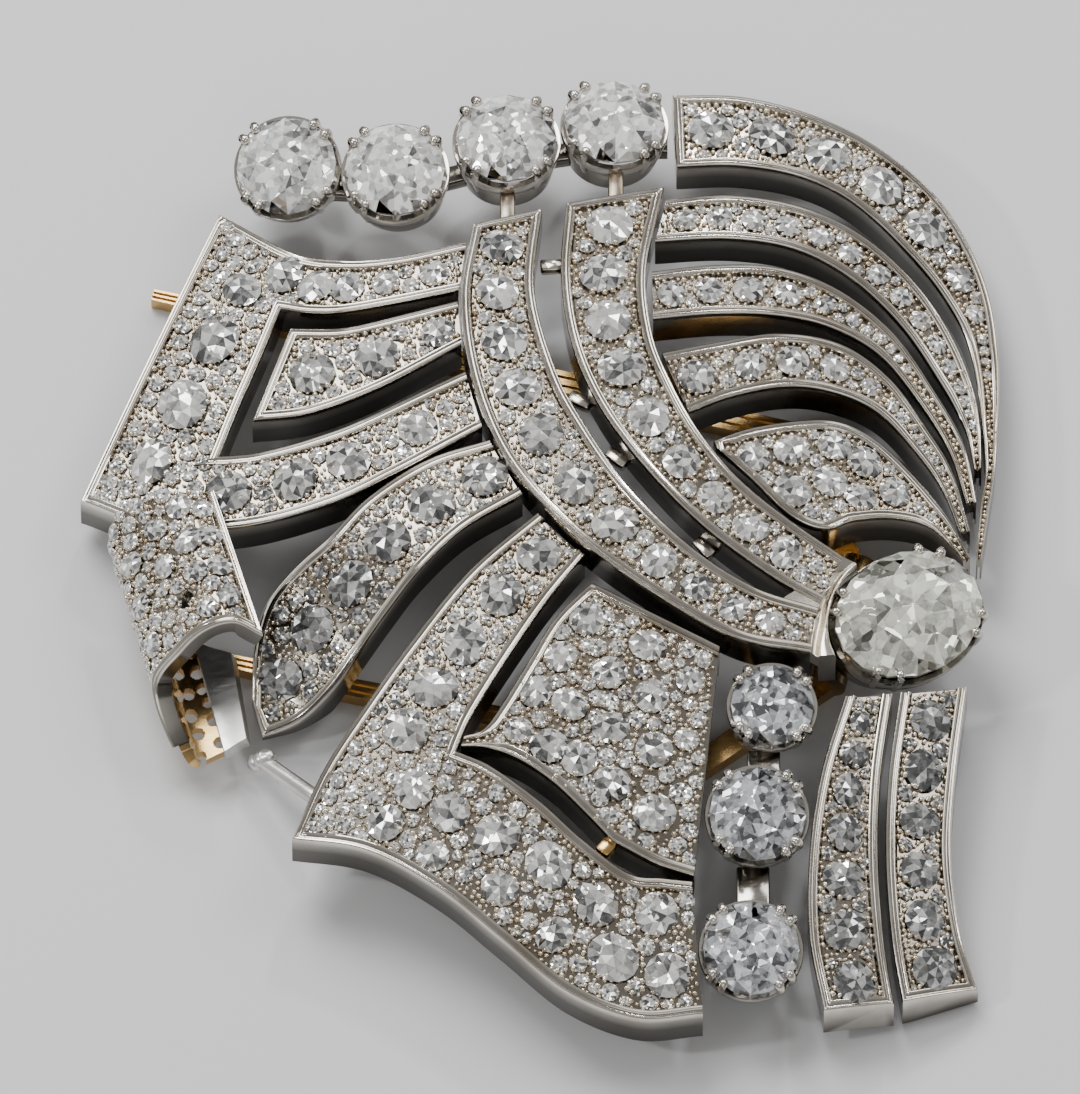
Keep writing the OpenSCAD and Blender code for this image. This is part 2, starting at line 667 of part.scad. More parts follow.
// A tapered open collet with four pairs of claws, cut level at its foot
module collet(i) {
  q = claw_stones[i];
  rx = q[STONE_RX];
  ry = q[STONE_RY];
  drop = 0.3 * rx;
  depth = 4;
  foot_r = 0.8 * rx;
  difference() {
    stone_frame(q) union() {
      scale([1, ry / rx, 1]) difference() {
        translate([0, 0, -drop - depth]) cylinder(r1 = foot_r, r2 = rx + collet_t / 2, h = depth, $fn = 48);
        translate([0, 0, -drop - depth - 0.1])
          cylinder(r1 = foot_r - collet_t, r2 = rx - collet_t, h = depth + 0.2, $fn = 48);
      }
      for (quarter = [45 : 90 : 315], pair = [-claw_spread, claw_spread]) {
        place = [(rx + claw_out) * cos(quarter + pair), (ry + claw_out) * sin(quarter + pair), 0];
        translate(place - [0, 0, drop + 0.9]) cylinder(d = claw_d, h = drop + 1.2, $fn = 16);
        translate(place + [0, 0, 0.3]) sphere(d = claw_d, $fn = 16);
      }
    }
    translate([q[STONE_CENTRE].x, q[STONE_CENTRE].y, q[STONE_FOOT] - 5]) cube([20, 20, 10], center = true);
  }
}

// A level bar along a line of points
module bar_along(line, width, height, z) {
  translate([0, 0, z]) linear_extrude(height) polygon(outline([for (p = line) [p.x, p.y, width]]));
}

// The outline of a strip from rows of x, y and width
function outline(rows) =
  let (last = len(rows) - 1,
       normals = [for (i = [0 : last])
         let (v = unit([for (k = [0 : 1]) rows[min(i + 1, last)][k] - rows[max(i - 1, 0)][k]])) [-v.y, v.x]])
  concat(
    [for (i = [0 : last]) [rows[i].x, rows[i].y] + normals[i] * rows[i][2] / 2],
    [for (i = [last : -1 : 0]) [rows[i].x, rows[i].y] - normals[i] * rows[i][2] / 2]);

module top_setting() {
  color(platinum) union() {
    difference() {
      bar_along(rail_line, rail_w, rail_h, rail_z);
      for (i = [0 : 3])
        translate([claw_stones[i][STONE_CENTRE].x, claw_stones[i][STONE_CENTRE].y, rail_z - 1])
          cylinder(r = 0.9, h = 4, $fn = 32);
    }
    for (i = [0 : 3]) collet(i);
    for (p = ribbon_posts) translate(p) cube(post_size, center = true);
  }
}

module side_setting() {
  color(platinum) union() {
    for (i = [4 : 6]) collet(i);
    for (p = side_bars) translate([p[0], p[1], p[2]]) cube([side_bar_w, p[3], side_bar_h], center = true);
  }
}

// The raised collar that fills the corner between the ribbons' ends and the oval stone
module collar() {
  translate([0, 0, collar_low]) linear_extrude(collar_high - collar_low)
    polygon(concat(collar_outside, collar_by_stone));
  translate([0, 0, collar_low]) linear_extrude(collar_foot_h)
    polygon(concat(collar_outside, collar_by_collet));
}

module oval_setting() {
  color(platinum) union() {
    collet(7);
    collar();
  }
}

module clip_frame() {
  translate([hinge.x, hinge.y, hinge_z]) rotate([0, 0, clip_turn]) children();
}

// A knuckle round the pin, centred at a place along the hinge
module knuckle(place, length) {
  clip_frame() translate([0, place, 0]) rotate([90, 0, 0])
    cylinder(r = knuckle_r, h = length, center = true, $fn = 48);
}

// The fixed half of the hinge: one long knuckle under a plate that is soldered to the oval setting
module hinge_bracket() {
  color(gold) difference() {
    union() {
      knuckle(0, bracket_len);
      clip_frame() translate([-web_w / 2, -bracket_len / 2, 0]) cube([web_w, bracket_len, plate_z + 0.1]);
      clip_frame() translate([-plate_w / 2, -bracket_len / 2, plate_z])
        cube([plate_w, bracket_len, plate_t_hinge]);
    }
    clip_frame() rotate([90, 0, 0]) cylinder(r = pin_r + fit_gap, h = 10, center = true, $fn = 48);
  }
}

// A strip of one prong with two flutes along its top
module prong(rows) {
  difference() {
    linear_extrude(prong_t) polygon(outline(rows));
    for (side = [-1, 1])
      translate([0, 0, prong_t - flute_depth]) linear_extrude(1) polygon(outline(
        [for (i = [0 : len(rows) - 2])
          let (v = unit([for (k = [0 : 1]) rows[i + 1][k] - rows[max(i - 1, 0)][k]]))
          [rows[i].x - v.y * side * rows[i][2] * 0.2, rows[i].y + v.x * side * rows[i][2] * 0.2, flute_w]]));
  }
}

// The two-pronged clip, with an end knuckle on each prong and the pin that joins them
module clip_fork() {
  end_place = bracket_len / 2 + stack_gap + end_len / 2;
  color(gold) union() {
    prong(upper_prong);
    prong(lower_prong);
    for (side = [-1, 1]) knuckle(side * end_place, end_len);
    clip_frame() rotate([90, 0, 0]) cylinder(r = pin_r, h = 2 * end_place, center = true, $fn = 48);
  }
}

translate(centring) ribbon_a();
translate(centring) ribbon_b();
translate(centring) left_bracket();
translate(centring) left_tongue();
translate(centring) scroll_band();
translate(centring) scroll_curl();
translate(centring) lower_frame();
translate(centring) inner_plaque();
translate(centring) arc_1();
translate(centring) arc_2();
translate(centring) arc_3();
translate(centring) arc_4();
translate(centring) leaf_plaque();
translate(centring) tail_left();
translate(centring) tail_right();
translate(centring) pave_left();
translate(centring) pave_right();
translate(centring) claw_stone(0);  // top_stone_1
translate(centring) claw_stone(1);  // top_stone_2
translate(centring) claw_stone(2);  // top_stone_3
translate(centring) claw_stone(3);  // top_stone_4
translate(centring) claw_stone(4);  // side_stone_1
translate(centring) claw_stone(5);  // side_stone_2
translate(centring) claw_stone(6);  // side_stone_3
translate(centring) claw_stone(7);  // oval_stone
translate(centring) curl_back();
translate(centring) curl_strut();
translate(centring) top_setting();
translate(centring) side_setting();
translate(centring) oval_setting();
translate(centring) hinge_bracket();
translate(centring) clip_fork();
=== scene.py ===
"""Double clip brooch: a domed web of pave bands, claw-set stones and the gold fork of its clip, dressed over the
frame. Lengths are in millimetres until new_piece puts them into the frame's metres."""
import bpy
import numpy as np
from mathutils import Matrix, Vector


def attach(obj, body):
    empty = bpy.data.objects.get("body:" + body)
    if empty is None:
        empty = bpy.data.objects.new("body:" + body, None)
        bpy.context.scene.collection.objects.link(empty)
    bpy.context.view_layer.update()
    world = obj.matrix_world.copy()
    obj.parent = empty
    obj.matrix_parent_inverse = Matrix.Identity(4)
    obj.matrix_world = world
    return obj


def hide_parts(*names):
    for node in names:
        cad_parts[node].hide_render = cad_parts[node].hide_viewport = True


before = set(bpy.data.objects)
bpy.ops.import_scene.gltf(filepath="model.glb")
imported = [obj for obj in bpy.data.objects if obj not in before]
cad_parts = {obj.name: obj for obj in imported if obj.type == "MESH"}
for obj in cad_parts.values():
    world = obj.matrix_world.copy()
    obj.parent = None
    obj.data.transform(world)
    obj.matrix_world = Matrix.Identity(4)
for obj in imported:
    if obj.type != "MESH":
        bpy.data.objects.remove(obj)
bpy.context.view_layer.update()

MM = 0.001
# From the drawing's own coordinates to the frame's, and the dome: its height, and how fast it falls away
CENTRING = np.array([-0.025, 2.04, 0.0])
FACE_Z, FALL_X, FALL_Y, FALL_RIGHT = 6.8, 0.0075, 0.0043, 0.018
# The ribbons' height over the dome, the widths of a rim and of its bevel, and how deep the bed lies
RIBBON_LIFT, RIM_W, BEVEL_W, BED_DEPTH = 0.7, 0.42, 0.1, 0.25
# The height of a wall, the thickness of the plate and of the rolled sheet, and the radius of its empty seat
WALL_H, PLATE_T, CURL_T, SEAT_R = 2.2, 0.75, 0.85, 0.45
# A packed row: how much of the width its stones fill, their distance in radii, and their largest and smallest radius
STONE_FILL, STONE_PITCH, BIG_R, SMALL_R = 0.88, 2.5, 1.12, 0.3
# How high walls end over the table and over the fork, and the radius of the top row's stones
TABLE_GAP, FORK_CLEAR, TOP_R = 0.15, 1.0, 2.32
# How far in from its edge a bed starts, and the least room for a seat
BED_START, LEAST_ROOM = RIM_W + 0.06, 0.02
# The fillers' radii, how far they may reach under a rim, their gap, and how much chance has a say in their place; then
# how far a grain may reach under a stone, and its chance
FILLER_R, RIM_OVERLAP, FILLER_GAP, FILLER_JITTER = (0.42, 0.34, 0.27), 0.06, 0.03, 0.3
GRAIN_OVERLAP, GRAIN_JITTER = 0.11, 0.12
# Painted tones of dark, grey, pale and bright facets: painted light and shade of the stones
FACET_TONES = np.array([0.08, 0.4, 0.66, 1.1])
# A distance past every rim, the steps in which a table's row is measured, and those of a band's mesh and of its seats
FAR, FINE_STEPS, MESH_STEP, SEAT_STEP = 9.0, 60, 0.2, 0.085
# The most of a band's width that one rim may take, the step for a slope, and the edge cut off a block and off a bar
RIM_SHARE, NUDGE, CUT, BAR_CUT = 0.36, 0.02, 0.06, 0.08

# Columns of a band's table: one edge's x and y (or x, y and z), then the other edge's, in millimetres
RIBBON_A_ROWS = [
    [-3.1, 13.6, 0.1, 14.4], [-3.65, 9.6, -0.25, 9.9], [-3.1, 5.0, 0.7, 5.6], [-1.5, 0.7, 2.0, 2.7],
    [1.5, -3.1, 4.0, -0.5], [5.0, -5.9, 6.9, -3.6], [8.9, -8.1, 9.8, -5.5], [12.35, -8.6, 12.7, -6.3],
]
RIBBON_B_ROWS = [
    [1.2, 14.7, 5.7, 15.7], [0.95, 10.8, 4.9, 11.1], [1.4, 7.1, 5.15, 7.6], [2.6, 3.8, 6.0, 5.0],
    [4.6, 0.65, 7.3, 2.4], [7.3, -2.4, 9.2, -0.1], [10.4, -4.8, 11.6, -2.1], [12.8, -6.1, 13.85, -3.6],
]
UPPER_ARM_ROWS = [
    [-3.4, 13.0, -3.75, 10.3], [-6.4, 12.35, -6.4, 9.8], [-9.0, 12.3, -9.0, 9.45], [-11.4, 13.0, -10.6, 9.55],
    [-14.8, 15.6, -11.9, 9.9],
]
COLUMN_ROWS = [
    [-14.8, 15.6, -11.9, 9.9], [-16.9, 10.7, -12.8, 7.4], [-19.0, 5.8, -13.8, 4.8], [-21.1, 0.9, -14.7, 2.3],
]
LOWER_ARM_ROWS = [
    [-21.1, 0.9, -14.7, 2.3], [-17.6, -1.0, -13.9, 2.25], [-13.6, -1.5, -12.8, 2.3], [-9.7, -0.75, -10.6, 2.75],
    [-6.6, 0.65, -8.0, 3.65], [-2.65, 2.85, -3.45, 5.9],
]
TONGUE_ROWS = [
    [-11.5, 8.8, -13.2, 4.0], [-9.0, 8.6, -10.6, 4.1], [-6.4, 9.1, -7.4, 5.2], [-3.8, 9.75, -3.6, 7.3],
]
ARC_1_ROWS = [
    [6.1, 21.5, 6.3, 17.3], [9.4, 21.6, 9.1, 17.55], [12.9, 20.75, 11.9, 17.2], [16.0, 19.1, 14.2, 16.1],
    [18.7, 16.6, 16.5, 14.0], [20.5, 13.0, 18.6, 11.4], [21.15, 8.8, 19.85, 8.5], [20.95, 3.3, 20.45, 3.1],
    [20.6, 0.5, 20.2, 0.4], [20.25, -2.1, 20.0, -2.2],
]
ARC_2_ROWS = [
    [5.8, 15.4, 5.3, 13.0], [8.9, 15.85, 8.7, 13.35], [12.3, 15.4, 11.6, 13.05], [15.2, 13.9, 14.1, 11.8],
    [17.7, 11.4, 16.5, 9.5], [19.35, 8.5, 18.3, 6.8], [20.15, 5.7, 19.5, 4.5], [20.28, 2.6, 19.95, 2.4],
]
ARC_3_ROWS = [
    [5.15, 11.35, 5.2, 8.7], [8.0, 11.85, 8.2, 9.15], [10.9, 11.95, 10.9, 9.25], [13.6, 11.05, 13.3, 8.85],
    [16.2, 9.0, 15.6, 7.6], [18.1, 6.2, 17.45, 5.3], [19.5, 3.6, 18.8, 3.0], [20.02, 0.7, 19.55, 0.5],
]
ARC_4_ROWS = [
    [5.6, 6.9, 6.85, 3.75], [8.1, 7.6, 8.8, 4.7], [11.0, 8.3, 11.2, 5.4], [13.8, 8.0, 13.3, 5.35],
    [16.1, 6.4, 15.4, 4.55], [17.8, 4.0, 17.2, 2.7], [18.95, 2.0, 18.4, 1.0], [19.72, -0.9, 19.25, -1.1],
]
LEAF_ROWS = [
    [7.95, 2.25, 8.05, 1.95], [9.4, 3.0, 9.6, 0.45], [11.6, 3.6, 11.4, -1.35], [13.6, 3.8, 13.0, -1.95],
    [15.3, 3.1, 14.4, -1.35], [17.0, 1.6, 16.2, -1.0], [18.7, -0.4, 17.9, -1.2], [19.72, -2.35, 19.4, -2.5],
]
FRAME_SIDE_ROWS = [
    [-0.15, -1.65, 2.05, -3.85], [-3.2, -4.5, 0.3, -6.2], [-5.8, -7.9, -1.6, -9.2], [-8.0, -11.1, -3.0, -11.6],
    [-9.9, -14.1, -3.5, -12.7], [-11.3, -17.3, -3.8, -13.5],
]
FRAME_FOOT_ROWS = [
    [-11.3, -17.3, -3.8, -13.5], [-7.9, -18.1, -2.2, -14.3], [-4.6, -20.1, 0.0, -16.0],
    [-1.8, -22.5, 1.9, -17.8], [1.2, -25.0, 4.0, -19.4], [4.4, -26.2, 5.6, -19.6], [7.4, -25.9, 6.9, -19.7],
]
PLAQUE_LEFT_ROWS = [
    [-3.45, -12.8, -3.6, -13.3], [-2.6, -12.5, -2.4, -13.4], [-1.75, -11.3, -1.0, -13.95],
    [-0.6, -9.3, 0.6, -15.1], [0.7, -7.0, 2.0, -16.5], [2.35, -5.2, 3.3, -17.9],
]
PLAQUE_RIGHT_ROWS = [
    [2.35, -5.2, 3.3, -17.9], [5.2, -6.7, 5.2, -18.9], [8.2, -8.2, 7.0, -19.45],
]
TAIL_LEFT_ROWS = [
    [13.9, -10.3, 16.1, -9.9], [12.8, -14.2, 15.55, -13.9], [12.25, -18.2, 15.4, -17.9],
    [12.25, -22.0, 15.65, -21.8], [12.9, -25.4, 16.1, -24.75],
]
TAIL_RIGHT_ROWS = [
    [16.45, -9.8, 19.55, -8.9], [15.9, -13.9, 19.0, -13.2], [15.75, -17.8, 18.75, -17.2],
    [16.0, -21.6, 19.15, -20.7], [16.5, -24.6, 19.95, -23.4],
]
SCROLL_ROWS = [
    [-2.35, 2.2, 6.7, -0.8, -0.7, 6.8], [-5.1, 1.3, 6.5, -3.4, -2.3, 6.6], [-7.8, -0.4, 6.1, -5.4, -4.2, 6.2],
    [-9.7, -2.3, 5.6, -6.8, -5.8, 5.4], [-11.3, -3.5, 4.8, -8.2, -7.5, 4.4],
    [-12.5, -4.7, 3.8, -9.5, -8.9, 3.2], [-13.1, -6.4, 2.6, -11.0, -9.9, 2.0],
    [-13.2, -8.6, 1.7, -12.7, -10.4, 1.35],
]
CURL_ROWS = [
    [-14.9, 0.0, 5.8, -12.6, -8.0, 6.9], [-16.0, -0.1, 6.0, -13.9, -7.55, 7.3],
    [-17.1, -0.1, 5.8, -15.3, -7.75, 6.9], [-18.4, -0.3, 5.2, -16.5, -8.3, 5.7],
    [-19.75, -0.95, 4.2, -17.65, -9.3, 3.9], [-19.6, -2.2, 2.6, -16.85, -11.4, 2.1],
    [-18.0, -4.2, 1.35, -15.95, -12.1, 1.25], [-15.9, -5.6, 1.2, -14.4, -11.5, 1.2],
    [-13.9, -6.6, 1.7, -13.25, -10.9, 1.5],
]
# Columns of a table of stones: place along the band's rows, share of the way across, and radius
COLUMN_STONES = [[0.35, 0.55, 0.95], [1.1, 0.52, 1.3], [2.0, 0.5, 1.3], [2.75, 0.45, 1.15]]
UPPER_ARM_STONES = [[0.45, 0.5, 0.72], [1.25, 0.5, 0.68], [1.95, 0.5, 0.85], [2.65, 0.5, 0.9], [3.3, 0.45, 1.0]]
FOOT_STONES = [
    [0.4, 0.62, 1.0], [0.75, 0.28, 0.9], [1.25, 0.55, 1.0], [1.6, 0.2, 0.8], [1.95, 0.6, 1.1], [2.55, 0.3, 0.9],
    [2.85, 0.68, 1.15], [3.5, 0.3, 0.9], [3.75, 0.68, 1.1], [4.4, 0.38, 1.2], [5.0, 0.75, 1.05], [5.4, 0.32, 1.1],
]
PLAQUE_LEFT_STONES = [
    [2.3, 0.5, 0.7], [3.1, 0.25, 0.8], [3.15, 0.68, 0.9], [4.0, 0.2, 0.8], [4.05, 0.45, 0.85], [4.1, 0.72, 0.9],
    [4.8, 0.12, 0.85],
]
PLAQUE_RIGHT_STONES = [
    [0.2, 0.33, 0.85], [0.15, 0.55, 0.85], [0.1, 0.77, 0.9], [0.9, 0.14, 0.85], [0.95, 0.34, 0.85], [1.0, 0.55, 0.9],
    [1.0, 0.8, 1.0], [1.6, 0.2, 0.7], [1.6, 0.45, 0.6], [1.55, 0.68, 0.55],
]
LEAF_STONES = [
    [1.15, 0.5, 0.8], [2.0, 0.3, 0.85], [2.05, 0.72, 0.9], [3.0, 0.22, 0.8], [3.0, 0.55, 0.85], [3.9, 0.3, 0.85],
    [4.0, 0.7, 0.75], [4.8, 0.5, 0.8], [5.45, 0.5, 0.38],
]
CURL_STONES = np.array([
    [0.75, 0.12, 0.55], [0.8, 0.32, 0.6], [0.8, 0.55, 0.6], [0.85, 0.78, 0.6], [1.7, 0.1, 0.65],
    [1.75, 0.35, 0.7], [1.8, 0.58, 0.6], [1.75, 0.85, 0.55], [2.75, 0.2, 0.6], [2.8, 0.45, 0.6],
    [3.7, 0.3, 0.65], [3.75, 0.55, 0.6], [3.7, 0.8, 0.6],
])
# The ties' places along ribbon_b with their turns, the curl's empty seat, the posts, the strut's ends and its barrel
TIE_PLACES = (0.7, 4), (2.75, -28), (3.7, -38), (5.2, -50)
SEAT_PLACE = (2.45, 0.72)
POST_PLACES = (-1.5, 15.3, 4.2), (3.5, 16.6, 4.2)
STRUT_ENDS = np.array([[-12.75, -11.6, 1.35], [-10.3, -14.1, 2.5]])
BARREL_R = [0.34, 0.44, 0.44, 0.36, 0.44, 0.44, 0.36, 0.44, 0.34]
COLLAR_OUTSIDE = [
    [14.4, -3.7], [14.0, -4.15], [13.55, -4.85], [13.2, -5.7], [12.95, -6.9], [12.75, -8.0], [12.7, -8.6],
]
COLLAR_INSIDE = [[14.5, -4.0], [13.85, -4.7], [13.4, -5.6], [13.2, -6.6], [13.2, -7.6], [13.5, -8.55]]
# The curl's rows where its back and its lip start, how deep the lace lies, and the length of a row and of the sheet
CURL_SPLIT, LIP_START, LACE_SINK, CURL_STEP, CURL_WIDTH = 5.0, 7.05, 0.35, 1.2, 5.6

# Columns of a claw-set stone: centre x, y and z, half length, half width, lean to the front and to the right, turn, and
# the height of its collet's foot
CLAW_STONES = {
    "top_stone_1": (-11.7, 17.55, 4.7, TOP_R, TOP_R, 14, -8, 0, 2.6),
    "top_stone_2": (-6.7, 17.2, 5.0, TOP_R, TOP_R, 4, -3, 0, 2.7),
    "top_stone_3": (-1.55, 18.75, 5.2, TOP_R, TOP_R, -2, 0, 0, 2.8),
    "top_stone_4": (3.45, 19.65, 5.1, TOP_R, 2.2, -2, 3, 0, 2.7),
    "side_stone_1": (10.6, -11.1, 5.8, 1.9, 1.9, 12, 3, 0, 3.4),
    "side_stone_2": (9.9, -16.5, 5.4, 2.2, 2.2, 14, 2, 0, 3.0),
    "side_stone_3": (9.6, -22.8, 4.3, 2.2, 2.2, 12, 2, 0, 2.0),
    "oval_stone": (16.85, -6.0, 5.0, 3.65, 2.95, 5, 10, 35, 2.75),
}

# A rim's cross-section: distance in from the band's edge, and height over the face
RIM_D = np.array([0.0, 0.03, 0.07, 0.11, 0.15, 0.20, 0.26, 0.31, 0.35, 0.39, 0.43, 0.47, 0.54])
RIM_H = np.array([-0.11, -0.03, 0.0, -0.01, -0.06, -0.08, -0.08, -0.06, -0.01, 0.0, -0.02, -0.10, -0.25])
# Columns of the bed between the rims, the column under which the plate starts, and how dark the painted shade in a
# rim's groove is
BED_COLUMNS, PLATE_COLUMN, GROOVE_SHADE = 9, 10, 0.75


def face_height(x, y):
    """Height of the domed face: the crown's height less the squared distances from the crown, more at the far right."""
    return FACE_Z - FALL_X * (x - 1) ** 2 - FALL_Y * (y + 1) ** 2 - FALL_RIGHT * np.maximum(0, x - 14) ** 2


def smooth_rows(rows, u):
    """Catmull-Rom curve: half of 2b + (c - a)f + (2a - 5b + 4c - d)f^2 + (3b - a - 3c + d)f^3 for rows a, b, c, d."""
    u, rows = np.asarray(u, float), np.asarray(rows)
    i = np.clip(np.floor(u).astype(int), 0, len(rows) - 2)
    f = (u - i)[..., None]
    pad = np.vstack([2 * rows[:1] - rows[1:2], rows, 2 * rows[-1:] - rows[-2:-1]])
    a, b, c, d = pad[i], pad[i + 1], pad[i + 2], pad[i + 3]
    return 0.5 * (2 * b + (c - a) * f + (2 * a - 5 * b + 4 * c - d) * f ** 2 + (3 * b - a - 3 * c + d) * f ** 3)


def band_points(rows, u, s):
    """A point of a band: edge one plus s times the way to edge two, at the face's height unless the table gives it,
    and higher on the ribbons."""
    r = smooth_rows(rows, u)
    half = r.shape[-1] // 2
    p = r[..., :half] + (r[..., half:] - r[..., :half]) * np.asarray(s)[..., None]
    if half == 3:
        return p
    lift = RIBBON_LIFT if rows in (RIBBON_A_ROWS, RIBBON_B_ROWS) else 0
    return np.concatenate([p, face_height(p[..., :1], p[..., 1:2]) + lift], -1)


def unit(v):
    return v / np.maximum(np.linalg.norm(v, axis=-1, keepdims=True), 1e-9)


def turned(v, front, right, turn):
    """Points turned about z, then leant: about x by the front angle and about y by the right one, all in degrees."""
    a, b, c = np.radians([front, right, turn])
    x, y, z = v[..., 0], v[..., 1], v[..., 2]
    x, y = x * np.cos(c) - y * np.sin(c), x * np.sin(c) + y * np.cos(c)
    y, z = y * np.cos(a) - z * np.sin(a), y * np.sin(a) + z * np.cos(a)
    return np.stack([x * np.cos(b) + z * np.sin(b), y, z * np.cos(b) - x * np.sin(b)], -1)


def placed(name, data):
    """A new object in the scene."""
    obj = bpy.data.objects.new(name, data)
    bpy.context.scene.collection.objects.link(obj)
    return obj


def new_piece(name, points, faces, material, slot, node=None, sharp=None, shades=None, glitter=0.0):
    """A mesh object from points in millimetres and faces of point numbers, riding on the brooch, in place of a node if
    one is named. Shades are named values for the points. Glitter is for stones: their facets are flat, the shades are
    the facets', and each facet gets the way that it throws the light, its normal plus a random part of that size."""
    mesh = bpy.data.meshes.new(name)
    mesh.from_pydata(((np.asarray(points) + CENTRING) * MM).tolist(), [], faces)
    mesh.polygons.foreach_set("use_smooth", np.full(len(mesh.polygons), not glitter))
    if sharp is not None:
        mesh.set_sharp_from_angle(angle=np.radians(sharp))
    for key, values in (shades or {}).items():
        layer = mesh.attributes.new(key, "FLOAT", "FACE" if glitter else "POINT")
        layer.data.foreach_set("value", np.asarray(values, np.float32))
    mesh.materials.append(material)
    mesh.update()
    if glitter:
        way = np.zeros(3 * len(mesh.polygons))
        mesh.polygons.foreach_get("normal", way)
        loose = np.random.default_rng(len(faces)).normal(0, glitter, (len(mesh.polygons), 3))
        thrown = unit(way.reshape(-1, 3) + loose)
        mesh.attributes.new("throw", "FLOAT_VECTOR", "FACE").data.foreach_set("vector", thrown.ravel())
    obj = placed(name, mesh)
    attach(obj, "brooch")
    if node:
        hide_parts(node)


def grid_faces(n, m, wrap=False):
    """Four-sided faces of an n by m grid of points; wrap joins the last column to the first."""
    i, j = np.meshgrid(np.arange(n - 1), np.arange(m if wrap else m - 1), indexing="ij")
    k = (j + 1) % m
    a, b = i * m + j, i * m + k
    return np.stack([a, b, b + m, a + m], -1).reshape(-1, 4).tolist()


def faces_out(points, faces):
    """The faces as they are if the closed form's volume comes out positive, else all turned round."""
    fans = np.array([(f[0], f[k], f[k + 1]) for f in faces for k in range(1, len(f) - 1)])
    a, b, c = points[fans].swapaxes(0, 1)
    return faces if (a * np.cross(b, c)).sum() > 0 else [f[::-1] for f in faces]


def solid(rings):
    """The closed form through rings of points: the sides between them and both ends, its faces outwards."""
    n, m = rings.shape[:2]
    points = rings.reshape(-1, 3)
    faces = grid_faces(n, m, wrap=True) + [list(range(m))[::-1], list(range((n - 1) * m, n * m))]
    return points, faces_out(points, faces)


def joined(parts):
    """Several forms as one list of points and one of faces."""
    points, faces, first = [], [], 0
    for p, f in parts:
        points.append(p)
        faces += [[v + first for v in q] for q in f]
        first += len(p)
    return np.concatenate(points), faces


def lengths_along(rows):
    """Fine steps through a band's table, and how far along the band's middle line each one lies."""
    last = len(rows) - 1
    u = np.linspace(0, last, FINE_STEPS * last + 1)
    middle = band_points(rows, u, 0.5)
    return u, np.concatenate([[0], np.cumsum(np.linalg.norm(np.diff(middle, axis=0), axis=1))])


def leg_stations(rows, rim_start, rim_end, first_leg):
    """Places along one leg, and how far each is from a rimmed end: rim distances at such an end, even steps between."""
    u, run = lengths_along(rows)
    total = run[-1]
    low, high = (RIM_D[-1] if rim_start else 0.0), total - (RIM_D[-1] if rim_end else 0.0)
    steps = np.linspace(low, high, max(3, int((high - low) / MESH_STEP)))
    at = np.concatenate([RIM_D[:-1] if rim_start else [], steps, total - RIM_D[-2::-1] if rim_end else []])
    if not first_leg:
        at = at[1:]
    from_rim = np.full(len(at), FAR)
    if rim_start:
        from_rim = np.minimum(from_rim, at)
    if rim_end:
        from_rim = np.minimum(from_rim, total - at)
    return np.interp(at, run, u), from_rim


def band_mesh(legs, rims, floor_z):
    """A rimmed band: the rim's cross-section is a function of the distance to the nearest edge, laid along both edges
    and round rimmed ends; walls go straight down, and the plate under the bed closes the form."""
    rings, shades = [], []
    for k, rows in enumerate(legs):
        u, in_end = leg_stations(rows, k == 0 and rims[0], k == len(legs) - 1 and rims[1], k == 0)
        lo, hi = np.maximum(u - NUDGE, 0), np.minimum(u + NUDGE, len(rows) - 1)
        a, b = (band_points(rows, u, s) for s in (0.0, 1.0))
        span = np.linalg.norm((b - a)[:, :2], axis=1)
        across = unit((b - a)[:, :2])
        sines = []
        for s in (0.0, 1.0):
            t = unit((band_points(rows, hi, s) - band_points(rows, lo, s))[:, :2])
            sines.append(np.clip(np.abs(across[:, 0] * t[:, 1] - across[:, 1] * t[:, 0]), 0.3, 1))
        true_span = span * (sines[0] + sines[1]) / 2
        squeeze = np.minimum(1, RIM_SHARE * true_span / RIM_D[-1])
        left = RIM_D[None, :] * (squeeze / (span * sines[0]))[:, None]
        right = 1 - RIM_D[None, ::-1] * (squeeze / (span * sines[1]))[:, None]
        fill = np.linspace(0, 1, BED_COLUMNS + 2)[1:-1]
        middle = left[:, -1:] + (right[:, :1] - left[:, -1:]) * fill
        s = np.concatenate([left, middle, right], 1)
        in_across = np.concatenate([RIM_D, np.full(BED_COLUMNS, FAR), RIM_D[::-1]])
        inner = np.minimum(in_across, in_end[:, None])
        top = band_points(rows, u[:, None], s)
        wall = np.minimum(WALL_H, top[..., 2] - floor_z)
        raised = top.copy()
        raised[..., 2] += np.interp(inner, RIM_D, RIM_H)

        def down(column, drop):
            return top[:, column] - np.outer(drop, [0, 0, 1])

        c0, c1 = PLATE_COLUMN, s.shape[1] - 1 - PLATE_COLUMN
        mid = s.shape[1] // 2
        plate = np.where(in_end < RIM_W, FAR, BED_DEPTH + PLATE_T)
        p0, p1, p2 = (np.minimum(plate, wall[:, c]) for c in (c0, c1, mid))
        ring = [down(0, share * wall[:, 0]) for share in (1, 0.5, 0.2)] + list(raised.swapaxes(0, 1))
        ring += [down(-1, share * wall[:, -1]) for share in (0.2, 0.5, 1)]
        ring += [down(c1, wall[:, c1]), down(c1, p1), down(mid, p2), down(c0, p0), down(c0, wall[:, c0])]
        rings.append(np.stack(ring, 1))
        # Painted shade: the walls are painted darker down to their foot, and the plate under them, the rims' grooves
        # and the bed between the rims are painted dark
        wall_shade = [1, 0.95, 0.5] + [0] * s.shape[1] + [0.5, 0.95, 1] + [0.5] * 5
        groove = np.interp(inner, [0.11, 0.17, 0.29, 0.35, 0.4, 0.5], [0, GROOVE_SHADE, GROOVE_SHADE, 0, 0, 1])
        shades.append((np.tile(wall_shade, (len(u), 1)), np.pad(groove, ((0, 0), (3, 8)))))
    wall, bed = (np.concatenate(q).ravel() for q in zip(*shades))
    return *solid(np.concatenate(rings)), {"wall": wall, "bed": bed}


